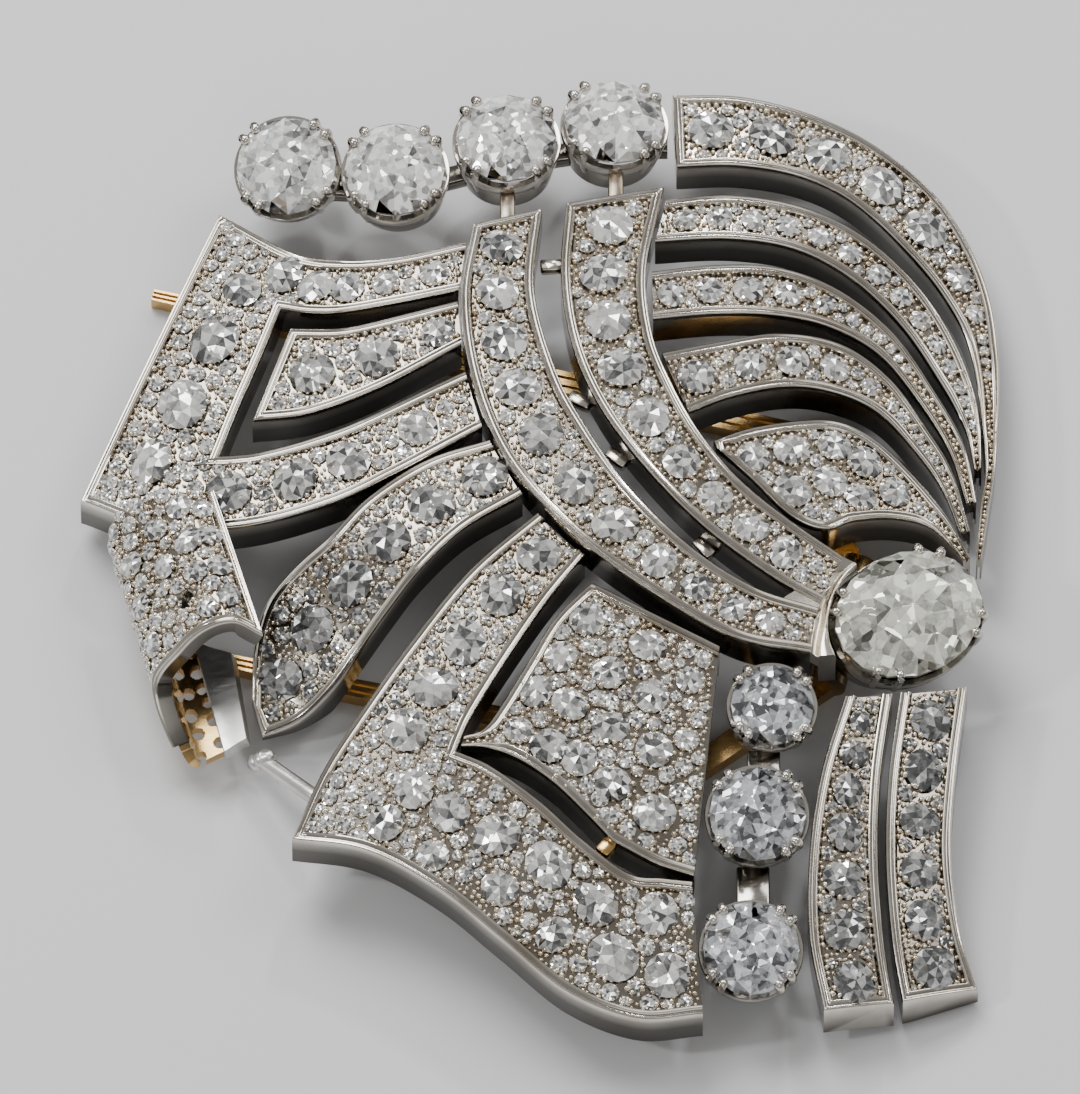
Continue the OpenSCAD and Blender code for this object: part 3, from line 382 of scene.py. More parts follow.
def seats_on(rows, u, s, r):
    """Where stones stand on a band: foot, way up, way along and radius, from the band's own slopes."""
    p = band_points(rows, u, s) - [0, 0, BED_DEPTH]
    du = band_points(rows, u + 0.05, s) - band_points(rows, u - 0.05, s)
    ds = band_points(rows, u, s + 0.05) - band_points(rows, u, s - 0.05)
    n = unit(np.cross(du, ds))
    n = np.where(n[:, 2:] < 0, -n, n)
    return np.concatenate([p, n, unit(du), r[:, None]], 1)


def packed_row(rows, u, end):
    """A row of stones down a band's middle, each as wide as the bed allows, a fixed number of radii apart."""
    found = []
    while u <= end:
        width, length = (np.linalg.norm(band_points(rows, *q) - band_points(rows, *p))
                         for p, q in (((u, 0), (u, 1)), ((u - 0.25, 0.5), (u + 0.25, 0.5))))
        r = min(STONE_FILL * (width / 2 - RIM_W - BEVEL_W), BIG_R)
        if r < SMALL_R:
            break
        found.append([u, 0.5, r])
        u += STONE_PITCH * r / (2 * length)
    return found


def curl_points(u, t):
    """The rolled sheet's outer face: a straight line from the far curve to the near one, both smooth through their
    rows."""
    r = smooth_rows(CURL_ROWS, u)
    return r[..., :3] + (r[..., 3:] - r[..., :3]) * np.asarray(t)[..., None]


def curl_normals(u, t):
    last = len(CURL_ROWS) - 1
    a = curl_points(np.minimum(u + 0.1, last), t) - curl_points(np.maximum(u - 0.1, 0), t)
    b = curl_points(u, t + 0.1) - curl_points(u, t - 0.1)
    return unit(np.cross(a, b))


def curl_seats(u, t, r):
    n = curl_normals(u, t)
    b = unit(curl_points(u, t + 0.1) - curl_points(u, t - 0.1))
    return np.concatenate([curl_points(u, t) - n * BED_DEPTH, n, b, r[:, None]], 1)


def band_bed(rows, rims):
    """Possible seats on a band's bed: an even grid over it, with each place's distance in from the rims."""
    u, run = lengths_along(rows)
    at = np.arange(0.05, run[-1], SEAT_STEP)
    u = np.interp(at, run, u)
    a, b = (band_points(rows, u, s) for s in (0.0, 1.0))
    width = np.linalg.norm((b - a)[:, :2], axis=1)
    count = int(width.max() / SEAT_STEP)
    s = np.linspace(0, 1, count + 2)[1:-1]
    U, S = np.meshgrid(u, s, indexing="ij")
    width = np.repeat(width[:, None], count, 1)
    squeeze = np.minimum(1, RIM_SHARE * width / RIM_D[-1])
    inside = np.minimum(S, 1 - S) * width - BED_START * squeeze
    at = np.repeat(at[:, None], count, 1)
    for rim, away in ((rims[0], at), (rims[1], run[-1] - at)):
        if rim is not None:
            inside = np.minimum(inside, away - (BED_START if rim else 0.1))
    keep = inside > LEAST_ROOM
    seats = seats_on(rows, U[keep], S[keep], np.zeros(keep.sum()))
    return seats, inside[keep]


def curl_bed():
    """Possible seats on the curl: an even grid over it, in from the free edge, the near end and the empty seat."""
    u, t = np.meshgrid(np.linspace(0, CURL_SPLIT, 150), np.linspace(0, 1, 100), indexing="ij")
    u, t = u.ravel(), t.ravel()
    edge_u, edge_t, hole = (np.linalg.norm(curl_points(u, t) - curl_points(*there), axis=1)
                            for there in ((0, t), (u, 1), SEAT_PLACE))
    inside = np.minimum(np.minimum(edge_u, edge_t) - BED_START, hole - SEAT_R - LEAST_ROOM)
    keep = inside > LEAST_ROOM
    return curl_seats(u[keep], t[keep], 0 * u[keep]), inside[keep]


def room_left(seats, taken):
    """How far each place is from the nearest of the round stones that are taken."""
    gap = np.full(len(seats), FAR)
    for q in taken:
        gap = np.minimum(gap, np.linalg.norm(seats[:, :3] - q[:3], axis=1) - q[3])
    return gap


def fill_bed(side, seats, inside, given, grain, seed, share):
    """Adds a bed's given stones to its side's, and then small stones and grains, packed into what they leave free and
    closest to the stones first. The share is how many of the places for small stones get one; the others are left to
    the grains, which are about the grain's size across."""
    rng = np.random.default_rng(seed)
    taken = given[:, [0, 1, 2, 9]]
    made, beads = [], []
    for r in FILLER_R:
        gap = room_left(seats, taken)
        while True:
            free = (inside > r - RIM_OVERLAP) & (gap > r + FILLER_GAP)
            if not free.any():
                break
            i = np.argmin(np.where(free, gap + FILLER_JITTER * rng.random(len(seats)), np.inf))
            gap = np.minimum(gap, np.linalg.norm(seats[:, :3] - seats[i, :3], axis=1) - r)
            if rng.random() < share:
                made.append([*seats[i, :9], r])
                taken = np.vstack([taken, [*seats[i, :3], r]])
    gap = room_left(seats, taken)
    near = np.full(len(seats), FAR)
    jitter = GRAIN_JITTER * rng.random(len(seats))
    while True:
        free = (gap > -GRAIN_OVERLAP) & (near > grain / 2) & (inside > -LEAST_ROOM)
        if not free.any():
            break
        i = np.argmin(np.where(free, gap + jitter, np.inf))
        r = min(near[i], grain * (0.34 + 0.42 * rng.random() ** 1.6))
        beads.append([*seats[i, :9], r])
        near = np.minimum(near, np.linalg.norm(seats[:, :3] - seats[i, :3], axis=1) - r)
    stones[side] += [given, np.reshape(made, (-1, 10))]
    grains[side].append(np.reshape(beads, (-1, 10)))


def ring_points(radius, height, count, turn=0.0):
    a = np.radians(turn) + np.arange(count) * 2 * np.pi / count
    return np.stack([radius * np.cos(a), radius * np.sin(a), np.full(count, float(height))], 1)


def crown_faces(core, table, mid, girdle):
    """A crown's faces from the first numbers of its rings: the table as a fan of eight glints round the core point,
    eight stars, sixteen half kites and sixteen girdle halves."""
    faces = []
    for k in range(8):
        j, g = (k + 1) % 8, girdle + 2 * k
        faces += [[core, table + k, table + j], [table + k, mid + k, table + j]]
        faces += [[table + k, mid + (k - 1) % 8, g], [table + k, g, mid + k]]
        faces += [[mid + k, g, g + 1], [mid + k, g + 1, girdle + (2 * k + 2) % 16]]
    return faces


def small_stone():
    """A small stone of radius 1 on its seat: table, crown and a short cone down to the bed."""
    points = np.vstack([ring_points(0.5, 0.44, 8), ring_points(0.78, 0.31, 8, 22.5), ring_points(1, 0.13, 16),
                        [[0, 0, 0], [0, 0, 0.455]]])
    faces = crown_faces(33, 0, 8, 16) + [[16 + k, 32, 16 + (k + 1) % 16] for k in range(16)]
    return points, outward(points, faces)


def full_stone():
    """A brilliant of radius 1: a table of two rings of glints, crown, girdle, lower halves and mains to a small
    culet."""
    points = np.vstack([
        ring_points(0.56, 0.34, 8), ring_points(0.8, 0.19, 8, 22.5), ring_points(1, 0.03, 16),
        ring_points(1, -0.03, 16), ring_points(0.55, -0.42, 8, 22.5), ring_points(0.05, -0.82, 8),
        ring_points(0.3, 0.352, 8, 22.5), [[0, 0, 0.345]]])
    faces = crown_faces(72, 0, 8, 16)
    faces = [f for f in faces if 72 not in f]
    for k in range(8):
        j = (k + 1) % 8
        faces += [[72, 64 + k, 64 + j], [64 + k, k, j], [64 + k, j, 64 + j]]
        g = 32 + 2 * k
        faces += [[48 + k, g, g + 1], [48 + k, g + 1, 32 + (2 * k + 2) % 16]]
        faces += [[56 + k, 48 + (k - 1) % 8, g, 48 + k], [56 + k, 48 + k, 56 + j]]
    faces += [[16 + k, 32 + k, 32 + (k + 1) % 16, 16 + (k + 1) % 16] for k in range(16)]
    faces.append([56 + k for k in range(8)])
    return points, outward(points, faces)


def outward(points, faces):
    """The same faces, each turned so that it looks away from the shape's middle."""
    centre = points.mean(0)
    done = []
    for f in faces:
        q = points[f]
        n = np.cross(q[1] - q[0], q[2] - q[0]) + (np.cross(q[2] - q[0], q[3] - q[0]) if len(f) > 3 else 0)
        done.append(f if n @ (q.mean(0) - centre) > 0 else f[::-1])
    return done


def bead():
    """A round grain of radius 1: three rings of seven points and a top, standing on its seat."""
    rings = [ring_points(0.9, 0, 7), ring_points(1, 0.6, 7, 20), ring_points(0.72, 1.3, 7), [[0, 0, 1.62]]]
    points = np.vstack(rings)
    faces = grid_faces(3, 7, wrap=True) + [[14 + k, 14 + (k + 1) % 7, 21] for k in range(7)] + [list(range(7))]
    return points, outward(points, faces)


STREAK_SCALE = 900.0
CLOUD_SCALE = STREAK_SCALE * 0.35
# Colours that walls, beds and shaded places are painted towards: painted shade
PAINTED_WALL_SHADE_COLOUR, PAINTED_BED_SHADE_COLOUR, SHADE_COLOUR = (0.05, 0.046, 0.042, 1), (0.10, 0.078, 0.055, 1), (0.05, 0.035, 0.025, 1)


def material(name):
    made = bpy.data.materials.new(name)
    made.use_nodes = True
    tree = made.node_tree
    return made, tree, tree.nodes["Principled BSDF"]


def feed(tree, node, inputs):
    """A node's inputs, each a plain value or another node's output."""
    for key, value in inputs.items():
        if isinstance(value, bpy.types.NodeSocket):
            tree.links.new(value, node.inputs[key])
        else:
            node.inputs[key].default_value = value


def add(tree, kind, inputs=(), output=0, **settings):
    """One output of a new shader node of a kind, with its settings and its inputs."""
    node = tree.nodes.new("ShaderNode" + kind)
    for key, value in settings.items():
        setattr(node, key, value)
    feed(tree, node, dict(inputs))
    return node.outputs[output]


def blended(tree, share, first, second):
    """A colour between two, by a share that another node gives."""
    return add(tree, "Mix", {0: share, 6: first, 7: second}, 2, data_type="RGBA")


def polished(name, light, dark, roughness, wall_painted_shade=0.0, bed_painted_shade=0.0, shade=None):
    """Polished metal: its colour wanders with a soft noise, and its gloss and bump with fine rubbed streaks. Walls and
    beds, marked by their attributes, are painted dark by the given amounts, as painted shade. Shade is a place in
    millimetres and a distance, within which the metal is painted dark among its neighbours, as painted shade."""
    made, tree, shader = material(name)
    place = add(tree, "TexCoord", output="Object")
    cloud = add(tree, "TexNoise", {"Vector": place, "Scale": CLOUD_SCALE, "Detail": 4.0, "Roughness": 0.6})
    stretch = add(tree, "Mapping", {"Vector": place, "Rotation": (0.0, 0.0, 0.6), "Scale": (1.0, 9.0, 3.0)})
    streak = add(tree, "TexNoise", {"Vector": stretch, "Scale": STREAK_SCALE, "Detail": 3.0})
    spots = add(tree, "MapRange", {"Value": cloud, "From Min": 0.3, "From Max": 0.7})
    colour = blended(tree, spots, light, dark)
    if shade:
        middle = tuple((np.array(shade[:3]) + CENTRING) * MM)
        away = add(tree, "VectorMath", {0: place, 1: middle}, "Value", operation="DISTANCE")
        much = add(tree, "MapRange", {"Value": away, "From Min": shade[3] * 0.6 * MM, "From Max": shade[3] * MM,
                                      "To Min": 0.92, "To Max": 0.0})
        colour = blended(tree, much, colour, SHADE_COLOUR)
    for key, amount, painted_shade_colour in (("wall", wall_painted_shade, PAINTED_WALL_SHADE_COLOUR), ("bed", bed_painted_shade, PAINTED_BED_SHADE_COLOUR)):
        if amount:
            at = add(tree, "Attribute", output="Fac", attribute_name=key)
            much = add(tree, "Math", {0: at, 1: amount}, operation="MULTIPLY")
            colour = blended(tree, much, colour, painted_shade_colour)
    gloss = add(tree, "MapRange", {"Value": streak, "To Min": roughness * 0.7, "To Max": roughness * 1.5})
    bump = add(tree, "Bump", {"Strength": 0.12, "Distance": 0.00002, "Height": streak})
    feed(tree, shader, {"Base Color": colour, "Roughness": gloss, "Normal": bump, "Metallic": 1.0})
    return made


def facet_stone(name, low, high, mirror, crumbs, glints):
    """A set stone seen as its facets: each is painted a tone between a shaded and a lit colour, painted light and shade
    in place of the light that the stone returns, and throws the light its own way, as the back facets do in the real
    stone. Crumbs is the scale of the small patches that a facet breaks into, and glints how much each goes its own
    way, in its painted tone and in the way it throws the light."""
    made, tree, shader = material(name)
    place = add(tree, "TexCoord", output="Object")
    tone = add(tree, "Attribute", output="Fac", attribute_name="tone")
    throw = add(tree, "Attribute", output="Vector", attribute_name="throw")
    cloud = add(tree, "TexNoise", {"Vector": place, "Scale": 3200.0, "Detail": 3.0, "Roughness": 0.7})
    patch = add(tree, "TexVoronoi", {"Vector": place, "Scale": crumbs, "Randomness": 0.9}, "Color")
    loose = add(tree, "VectorMath", {0: patch, 1: (0.5, 0.5, 0.5)}, operation="SUBTRACT")
    own = add(tree, "SeparateXYZ", {0: loose})
    spread = add(tree, "Math", {0: own, 1: glints, 2: tone}, operation="MULTIPLY_ADD")
    mixed = add(tree, "Math", {0: cloud, 1: 0.9, 2: spread}, operation="MULTIPLY_ADD")
    shift = add(tree, "Math", {0: mixed, 1: 0.45}, operation="SUBTRACT", use_clamp=True)
    broken = add(tree, "VectorMath", {0: loose, 1: (glints,) * 3, 2: throw}, operation="MULTIPLY_ADD")
    way = add(tree, "VectorTransform", {0: broken}, vector_type="NORMAL", convert_from="OBJECT", convert_to="WORLD")
    feed(tree, shader, {"Base Color": blended(tree, shift, low, high), "Normal": way, "Metallic": mirror,
                        "Roughness": 0.05, "IOR": 2.0})
    return made


WHITE_METAL = polished("polished_platinum", (0.82, 0.785, 0.72, 1), (0.56, 0.51, 0.44, 1),
                       0.15, wall_painted_shade=0.93, bed_painted_shade=0.6)
GRAIN_METAL = polished("grain_platinum", (0.95, 0.88, 0.76, 1), (0.56, 0.47, 0.35, 1), 0.13)
SETTING_METAL = polished("setting_platinum", (0.80, 0.765, 0.71, 1), (0.52, 0.475, 0.41, 1), 0.16, wall_painted_shade=0.75)
# Gold whose walls are painted dark, as painted shade
YELLOW_METAL = polished("gold_with_painted_shade", (0.80, 0.55, 0.24, 1), (0.50, 0.30, 0.11, 1), 0.2, wall_painted_shade=0.8)
# The fork is painted dark round its knuckle, as painted shade
FORK_METAL = polished("fork_gold", (0.80, 0.55, 0.24, 1), (0.50, 0.30, 0.11, 1), 0.2, shade=(13.9, -5.4, 3.2, 4.6))
SHADED_METAL = polished("shaded_platinum", (0.40, 0.36, 0.30, 1), (0.24, 0.18, 0.12, 1), 0.3)
PALE_METAL = polished("satin_platinum", (0.88, 0.87, 0.85, 1), (0.62, 0.61, 0.59, 1), 0.32)
# Stones: a shaded and a lit colour, between which their facets are painted as painted light and shade, and their mirror
# share, patch scale and glints
TOP_STONE = facet_stone("top_diamond", (0.10, 0.10, 0.10, 1), (1.0, 1.0, 0.985, 1), 0.22, 3000.0, 1.0)
SIDE_STONE = facet_stone("side_diamond", (0.10, 0.10, 0.11, 1), (0.93, 0.96, 1.0, 1), 0.42, 3200.0, 1.0)
OVAL_STONE = facet_stone("oval_diamond", (0.16, 0.16, 0.14, 1), (0.99, 1.0, 0.88, 1), 0.3, 2100.0, 0.8)
SMALL_STONE = facet_stone("small_diamond", (0.10, 0.103, 0.105, 1), (1.0, 0.995, 0.98, 1), 0.5, 3000.0, 0.2)

stones, grains = {"left": [], "right": []}, {"left": [], "right": []}
# Name, side, whether the first and the last end have a rim, and the legs: each a table of its edges with its stones,
# which are another table, or the first and last place of a packed row
BANDS = [
    ("left_bracket", "left", False, False, (UPPER_ARM_ROWS, UPPER_ARM_STONES), (COLUMN_ROWS, COLUMN_STONES),
     (LOWER_ARM_ROWS, (1.6, 4.8))),
    ("left_tongue", "left", True, False, (TONGUE_ROWS, (0.75, 2.8))),
    ("scroll_band", "left", False, True, (SCROLL_ROWS, (0.35, 6.4))),
    ("lower_frame", "left", False, False, (FRAME_SIDE_ROWS, (0.4, 4.4)), (FRAME_FOOT_ROWS, FOOT_STONES)),
    ("inner_plaque", "left", False, False, (PLAQUE_LEFT_ROWS, PLAQUE_LEFT_STONES),
     (PLAQUE_RIGHT_ROWS, PLAQUE_RIGHT_STONES)),
    ("ribbon_a", "right", True, False, (RIBBON_A_ROWS, (0.4, 6.7))),
    ("ribbon_b", "right", True, False, (RIBBON_B_ROWS, (0.4, 6.6))),
    ("arc_1", "right", True, False, (ARC_1_ROWS, (0.55, 6.4))),
    ("arc_2", "right", False, False, (ARC_2_ROWS, (0.35, 6.2))),
    ("arc_3", "right", False, False, (ARC_3_ROWS, (0.3, 5.6))),
    ("arc_4", "right", False, False, (ARC_4_ROWS, (0.45, 5.8))),
    ("leaf_plaque", "right", True, False, (LEAF_ROWS, LEAF_STONES)),
    ("tail_left", "right", False, True, (TAIL_LEFT_ROWS, (0.35, 3.75))),
    ("tail_right", "right", False, True, (TAIL_RIGHT_ROWS, (0.35, 3.75))),
]
number = 0
for name, side, first_rim, last_rim, *legs in BANDS:
    points, faces, shades = band_mesh([rows for rows, _ in legs], (first_rim, last_rim),
                                      FORK_CLEAR if name == "scroll_band" else TABLE_GAP)
    new_piece(name + "_fine", points, faces, WHITE_METAL, "white_metal", name, sharp=40, shades=shades)
    for rows, given in legs:
        # Where two legs meet, the bed runs on: its end is neither rimmed nor open
        rims = (first_rim if rows is legs[0][0] else None, last_rim if rows is legs[-1][0] else None)
        places = packed_row(rows, *given) if isinstance(given, tuple) else given
        given = seats_on(rows, *np.array(places).T)
        given[:, 9] *= 0.97
        fill_bed(side, *band_bed(rows, rims), given, 0.25, number, 0.84)
        number += 1
fill_bed("left", *curl_bed(), curl_seats(*CURL_STONES.T), 0.24, 90, 0.88)


rng = np.random.default_rng(5)


def tones(count, each, between, shares):
    """A painted tone for every facet, painted light and shade in place of what the stone returns: dark, grey, pale or
    bright by the given shares, moved a little by the stone's own shade and by chance."""
    pick = rng.choice(4, (count, each), p=shares)
    own = rng.normal(0, between, (count, 1))
    return np.clip(FACET_TONES[pick] + own + rng.normal(0, 0.07, (count, each)), 0, 1).ravel()


def ramp(value, start, length):
    """0 up to the start, and then evenly up to 1 over the length."""
    return np.clip((value - start) / length, 0, 1)


def strewn(seats, shape, faces, most_oval):
    """A small shape copied to every seat: foot + radius * (x along + y across + z up), turned by chance and a little
    longer one way than the other."""
    spin, oval = rng.uniform(0, np.pi, (len(seats), 1)), rng.uniform(-most_oval, most_oval, (len(seats), 1))
    up, along = seats[:, 3:6], seats[:, 6:9]
    side = np.cross(up, along)
    c, s = np.cos(spin), np.sin(spin)
    a, b = (along * c + side * s) * (1 + oval), (side * c - along * s) * (1 - oval)
    axes = np.stack([a, b, up], 1) * seats[:, 9, None, None]
    points = seats[:, None, :3] + np.einsum("kj,njx->nkx", shape, axes)
    return joined([(p, faces) for p in points])


# Shares of dark, grey, pale and bright facets, painted light and shade: the top stones are painted brightest, the side
# stones darkest
SMALL_SHARES, TOP_SHARES = [0.2, 0.24, 0.28, 0.28], [0.07, 0.05, 0.12, 0.76]
SIDE_SHARES, OVAL_SHARES = [0.26, 0.28, 0.26, 0.2], [0.12, 0.2, 0.38, 0.3]
stone_shape, stone_faces = small_stone()
bead_shape, bead_faces = bead()
for side in ("left", "right"):
    seats = np.concatenate(stones[side])
    x, y = seats[:, 0].copy(), seats[:, 1].copy()
    seats[:, :3] += 0.04 * seats[:, 3:6]
    points, faces = strewn(seats, stone_shape, stone_faces, 0.09)
    tone = tones(len(seats), len(stone_faces), 0.09, SMALL_SHARES)
    # The stones of the tails and of the scroll are painted darker than the others, as painted shade
    tail_shade_mask = ramp(x, 10.5, 0.5) * ramp(-y, 8, 3)
    scroll_shade_mask = ramp(-x, 3, 5) * ramp(x, -15, 1) * ramp(y, -12, 1) * ramp(-y, -1, 1)
    tone = np.clip(tone - 0.5 * np.repeat(tail_shade_mask + 0.9 * scroll_shade_mask, len(stone_faces)), 0, 1)
    new_piece("stones_" + side, points, faces, SMALL_STONE, "small_stones", "pave_" + side,
              shades={"tone": tone}, glitter=0.3)
    points, faces = strewn(np.concatenate(grains[side]), bead_shape, bead_faces, 0.15)
    new_piece("grains_" + side, points, faces, GRAIN_METAL, "white_metal")


def curl_mesh():
    """The rolled sheet: its outer face sunk by the rim's cross-section from the free edge and near end, and by a cup at
    the empty seat, over an inner face one sheet's thickness in."""
    step = RIM_D / np.linalg.norm(curl_points(0.5, 1.0) - curl_points(0.0, 1.0)) / 2
    u = np.concatenate([step, np.linspace(step[-1], CURL_SPLIT, 110)[1:]])
    width = np.linalg.norm(curl_points(1.0, 1.0) - curl_points(1.0, 0.0))
    t = np.concatenate([np.linspace(0, 1 - RIM_D[-1] / width, 70), 1 - RIM_D[-2::-1] / width])
    U, T = np.meshgrid(u, t, indexing="ij")
    p, n = curl_points(U, T), curl_normals(U, T)
    inner = np.minimum(np.interp(U, step, RIM_D, right=FAR), np.interp(1 - T, RIM_D / width, RIM_D, right=FAR))
    dip = np.interp(inner, RIM_D, RIM_H)
    away = np.linalg.norm(p - curl_points(*SEAT_PLACE), axis=-1)
    cup = np.interp(away, [0, SEAT_R * 0.5, SEAT_R * 0.92, SEAT_R], [-0.5, -0.45, -0.1, 0.0])
    outer = p + n * (dip + cup)[..., None]
    back = p - n * CURL_T
    rows, columns = U.shape
    half = rows * columns
    faces = np.array(grid_faces(rows, columns))
    under = faces[:, ::-1] + half
    index = np.arange(half).reshape(rows, columns)
    loop = np.concatenate([index[0, :-1], index[:-1, -1], index[-1, :0:-1], index[:0:-1, 0]])
    after = np.roll(loop, -1)
    lowered = (p - n * 0.2).reshape(-1, 3)[loop]
    edge = 2 * half + np.arange(len(loop))
    beside = np.roll(edge, -1)
    strips = (loop, after, beside, edge), (edge, beside, after + half, loop + half)
    sides = np.concatenate([np.stack(q, -1)[:, ::-1] for q in strips])
    # Painted shade: the bed inside the rims, the empty seat's cup, the inner face and the cut edge are painted dark
    bed = 0.7 * np.clip((inner - 0.4) / 0.1, 0, 1)
    painted_cup_shade = np.where(away < SEAT_R, 0.84, 0.0)
    points = np.concatenate([outer.reshape(-1, 3), back.reshape(-1, 3), lowered])
    wall = np.concatenate([painted_cup_shade.ravel(), np.ones(half), np.full(len(loop), 0.9)])
    bed = np.concatenate([bed.ravel(), np.zeros(half + len(loop))])
    return points, faces.tolist() + under.tolist() + sides.tolist(), {"wall": wall, "bed": bed}


points, faces, shades = curl_mesh()
new_piece("curl_fine", points, faces, WHITE_METAL, "white_metal", "scroll_curl", sharp=40, shades=shades)

stone_shape, stone_faces = full_stone()
MAIN_LOOKS = {"top": (TOP_STONE, TOP_SHARES), "side": (SIDE_STONE, SIDE_SHARES), "oval": (OVAL_STONE, OVAL_SHARES)}
for name, (x, y, z, rx, ry, front, right, turn, _) in CLAW_STONES.items():
    points = turned(stone_shape * [rx, ry, rx], front, right, turn) + [x, y, z]
    look, shares = MAIN_LOOKS[name.split("_")[0]]
    shade = tones(1, len(stone_faces), 0.02, shares)
    new_piece(name + "_cut", points, stone_faces, look, "main_stones", name, shades={"tone": shade}, glitter=0.38)


def tube(path, radii, sides=10):
    """A round bar along a path: rings square to the path, its ends drawn in to half a ball."""
    path, radii = np.asarray(path, float), np.asarray(radii, float)
    t = unit(np.gradient(path, axis=0))
    helper = np.where(np.abs(t[:, 2:]) > 0.9, [[1.0, 0, 0]], [[0, 0, 1.0]])
    a = unit(np.cross(t, helper))
    c = np.cross(t, a)
    turn = np.arange(sides) * 2 * np.pi / sides
    cosine, sine = np.cos(turn)[None, :, None], np.sin(turn)[None, :, None]

    def ring(p, a, c, r):
        return p[:, None] + r[:, None, None] * (a[:, None] * cosine + c[:, None] * sine)

    caps = []
    for at, way in ((0, -1), (-1, 1)):
        lift = np.array([0.5, 0.87, 0.99]) * radii[at] * way
        size = np.array([0.87, 0.5, 0.12]) * radii[at]
        caps.append(ring(path[at] + t[at] * lift[:, None], a[[at] * 3], c[[at] * 3], size))
    return solid(np.concatenate([caps[0][::-1], ring(path, a, c, radii), caps[1]]))


def block(centre, half):
    """A box round a centre, of half its size, with its twelve edges cut at 45 degrees: four rings of eight points."""
    centre, half = np.array(centre, float), np.array(half)
    (x0, y0, z0), (x1, y1, z1) = centre - half, centre + half
    ring = np.array([(x0 + CUT, y0), (x1 - CUT, y0), (x1, y0 + CUT), (x1, y1 - CUT), (x1 - CUT, y1), (x0 + CUT, y1),
                     (x0, y1 - CUT), (x0, y0 + CUT)])
    inner = (ring - centre[:2]) * (1 - CUT / half[:2]) + centre[:2]
    levels = [(inner, z0), (ring, z0 + CUT), (ring, z1 - CUT), (inner, z1)]
    return solid(np.array([np.column_stack([r, np.full(8, z)]) for r, z in levels]))


# A claw from its root to its bead: how far it stands out from the stone's edge, its height over the girdle, and radius
CLAW_OUT, CLAW_HIGH = np.array([-0.14, 0.06, 0.14, 0.12, -0.03]), np.array([-1.5, -0.7, -0.15, 0.12, 0.24])
CLAW_R, COLLET_SIDES = [0.2, 0.2, 0.2, 0.22, 0.25], 56
# A collet's outside: the share of the way down, and how far it stands out from the plain taper
LIP_SHAPE = (0.0, 0.0), (0.03, 0.05), (0.09, 0.07), (0.15, 0.04), (0.19, -0.04), (0.23, 0.0), (0.5, 0.0), (1.0, 0.0)


def collet(x, y, z, rx, ry, front, right, turn_z, foot):
    """A claw setting: a tapered ring with a rounded lip and a groove below it, and four pairs of claws that rise from
    its wall and bend in over the stone's girdle to end in small beads."""
    drop, depth, foot_r = 0.3 * rx, 4.0, 0.8 * rx
    profile = [(rx + 0.17 - (rx + 0.17 - foot_r) * share + out, -0.12 * rx - (drop + depth - 0.12 * rx) * share)
               for share, out in LIP_SHAPE]
    profile += [(rx - 0.12 - (rx - 0.05 - foot_r) * share, -0.14 * rx - (drop + depth - 0.14 * rx) * share)
                for share in (1.0, 0.5, 0.1, 0.0)]
    profile = np.array(profile)
    n, m = COLLET_SIDES, len(profile)
    turn = np.arange(n)[:, None] * 2 * np.pi / n
    ring = np.stack([np.cos(turn) * profile[:, 0], np.sin(turn) * profile[:, 0] * ry / rx,
                     np.tile(profile[:, 1], (n, 1))], -1).reshape(-1, 3)
    last = (n - 1) * m
    faces = grid_faces(n, m, wrap=True) + [[last + k, last + (k + 1) % m, (k + 1) % m, k] for k in range(m)]
    parts = [(ring, faces_out(ring, faces))]
    for angle in (36, 54, 126, 144, 216, 234, 306, 324):
        a = np.radians(angle)
        path = np.stack([np.cos(a) * (rx + CLAW_OUT), np.sin(a) * (ry + CLAW_OUT), CLAW_HIGH], -1)
        parts.append(tube(path, CLAW_R))
    done = []
    for points, faces in parts:
        points = turned(points, front, right, turn_z) + [x, y, z]
        points[:, 2] = np.maximum(points[:, 2], foot)
        done.append((points, faces))
    return done


def bar(line, width, low, height):
    """A level bar along a line of points: a rectangle with cut edges carried along it."""
    line = np.asarray(line, float)
    t = unit(np.gradient(line, axis=0))
    side = np.stack([-t[:, 1], t[:, 0]], -1)
    e, w, h = BAR_CUT, width / 2, height
    outline = np.array([(-w + e, 0), (w - e, 0), (w, e), (w, h - e), (w - e, h), (-w + e, h), (-w, h - e), (-w, e)])
    heights = np.broadcast_to(low + outline[None, :, 1:], (len(line), 8, 1))
    return solid(np.concatenate([line[:, None] + side[:, None] * outline[None, :, :1], heights], -1))


def collar():
    """The raised collar by the oval stone: a wall between two lines, with a narrow bevel along its top."""
    n = 37
    out, near = (smooth_rows(rows, np.linspace(0, len(rows) - 1, n)) for rows in (COLLAR_OUTSIDE, COLLAR_INSIDE))
    levels = [(0.0, 3.4), (0.0, 5.75), (0.06, 5.86), (0.14, 5.9)]
    way = unit(near - out)
    front = [np.column_stack([out + way * e, np.full(n, z)]) for e, z in levels]
    back = [np.column_stack([near - way * e, np.full(n, z)]) for e, z in levels[::-1]]
    return solid(np.stack(front + back, 1))


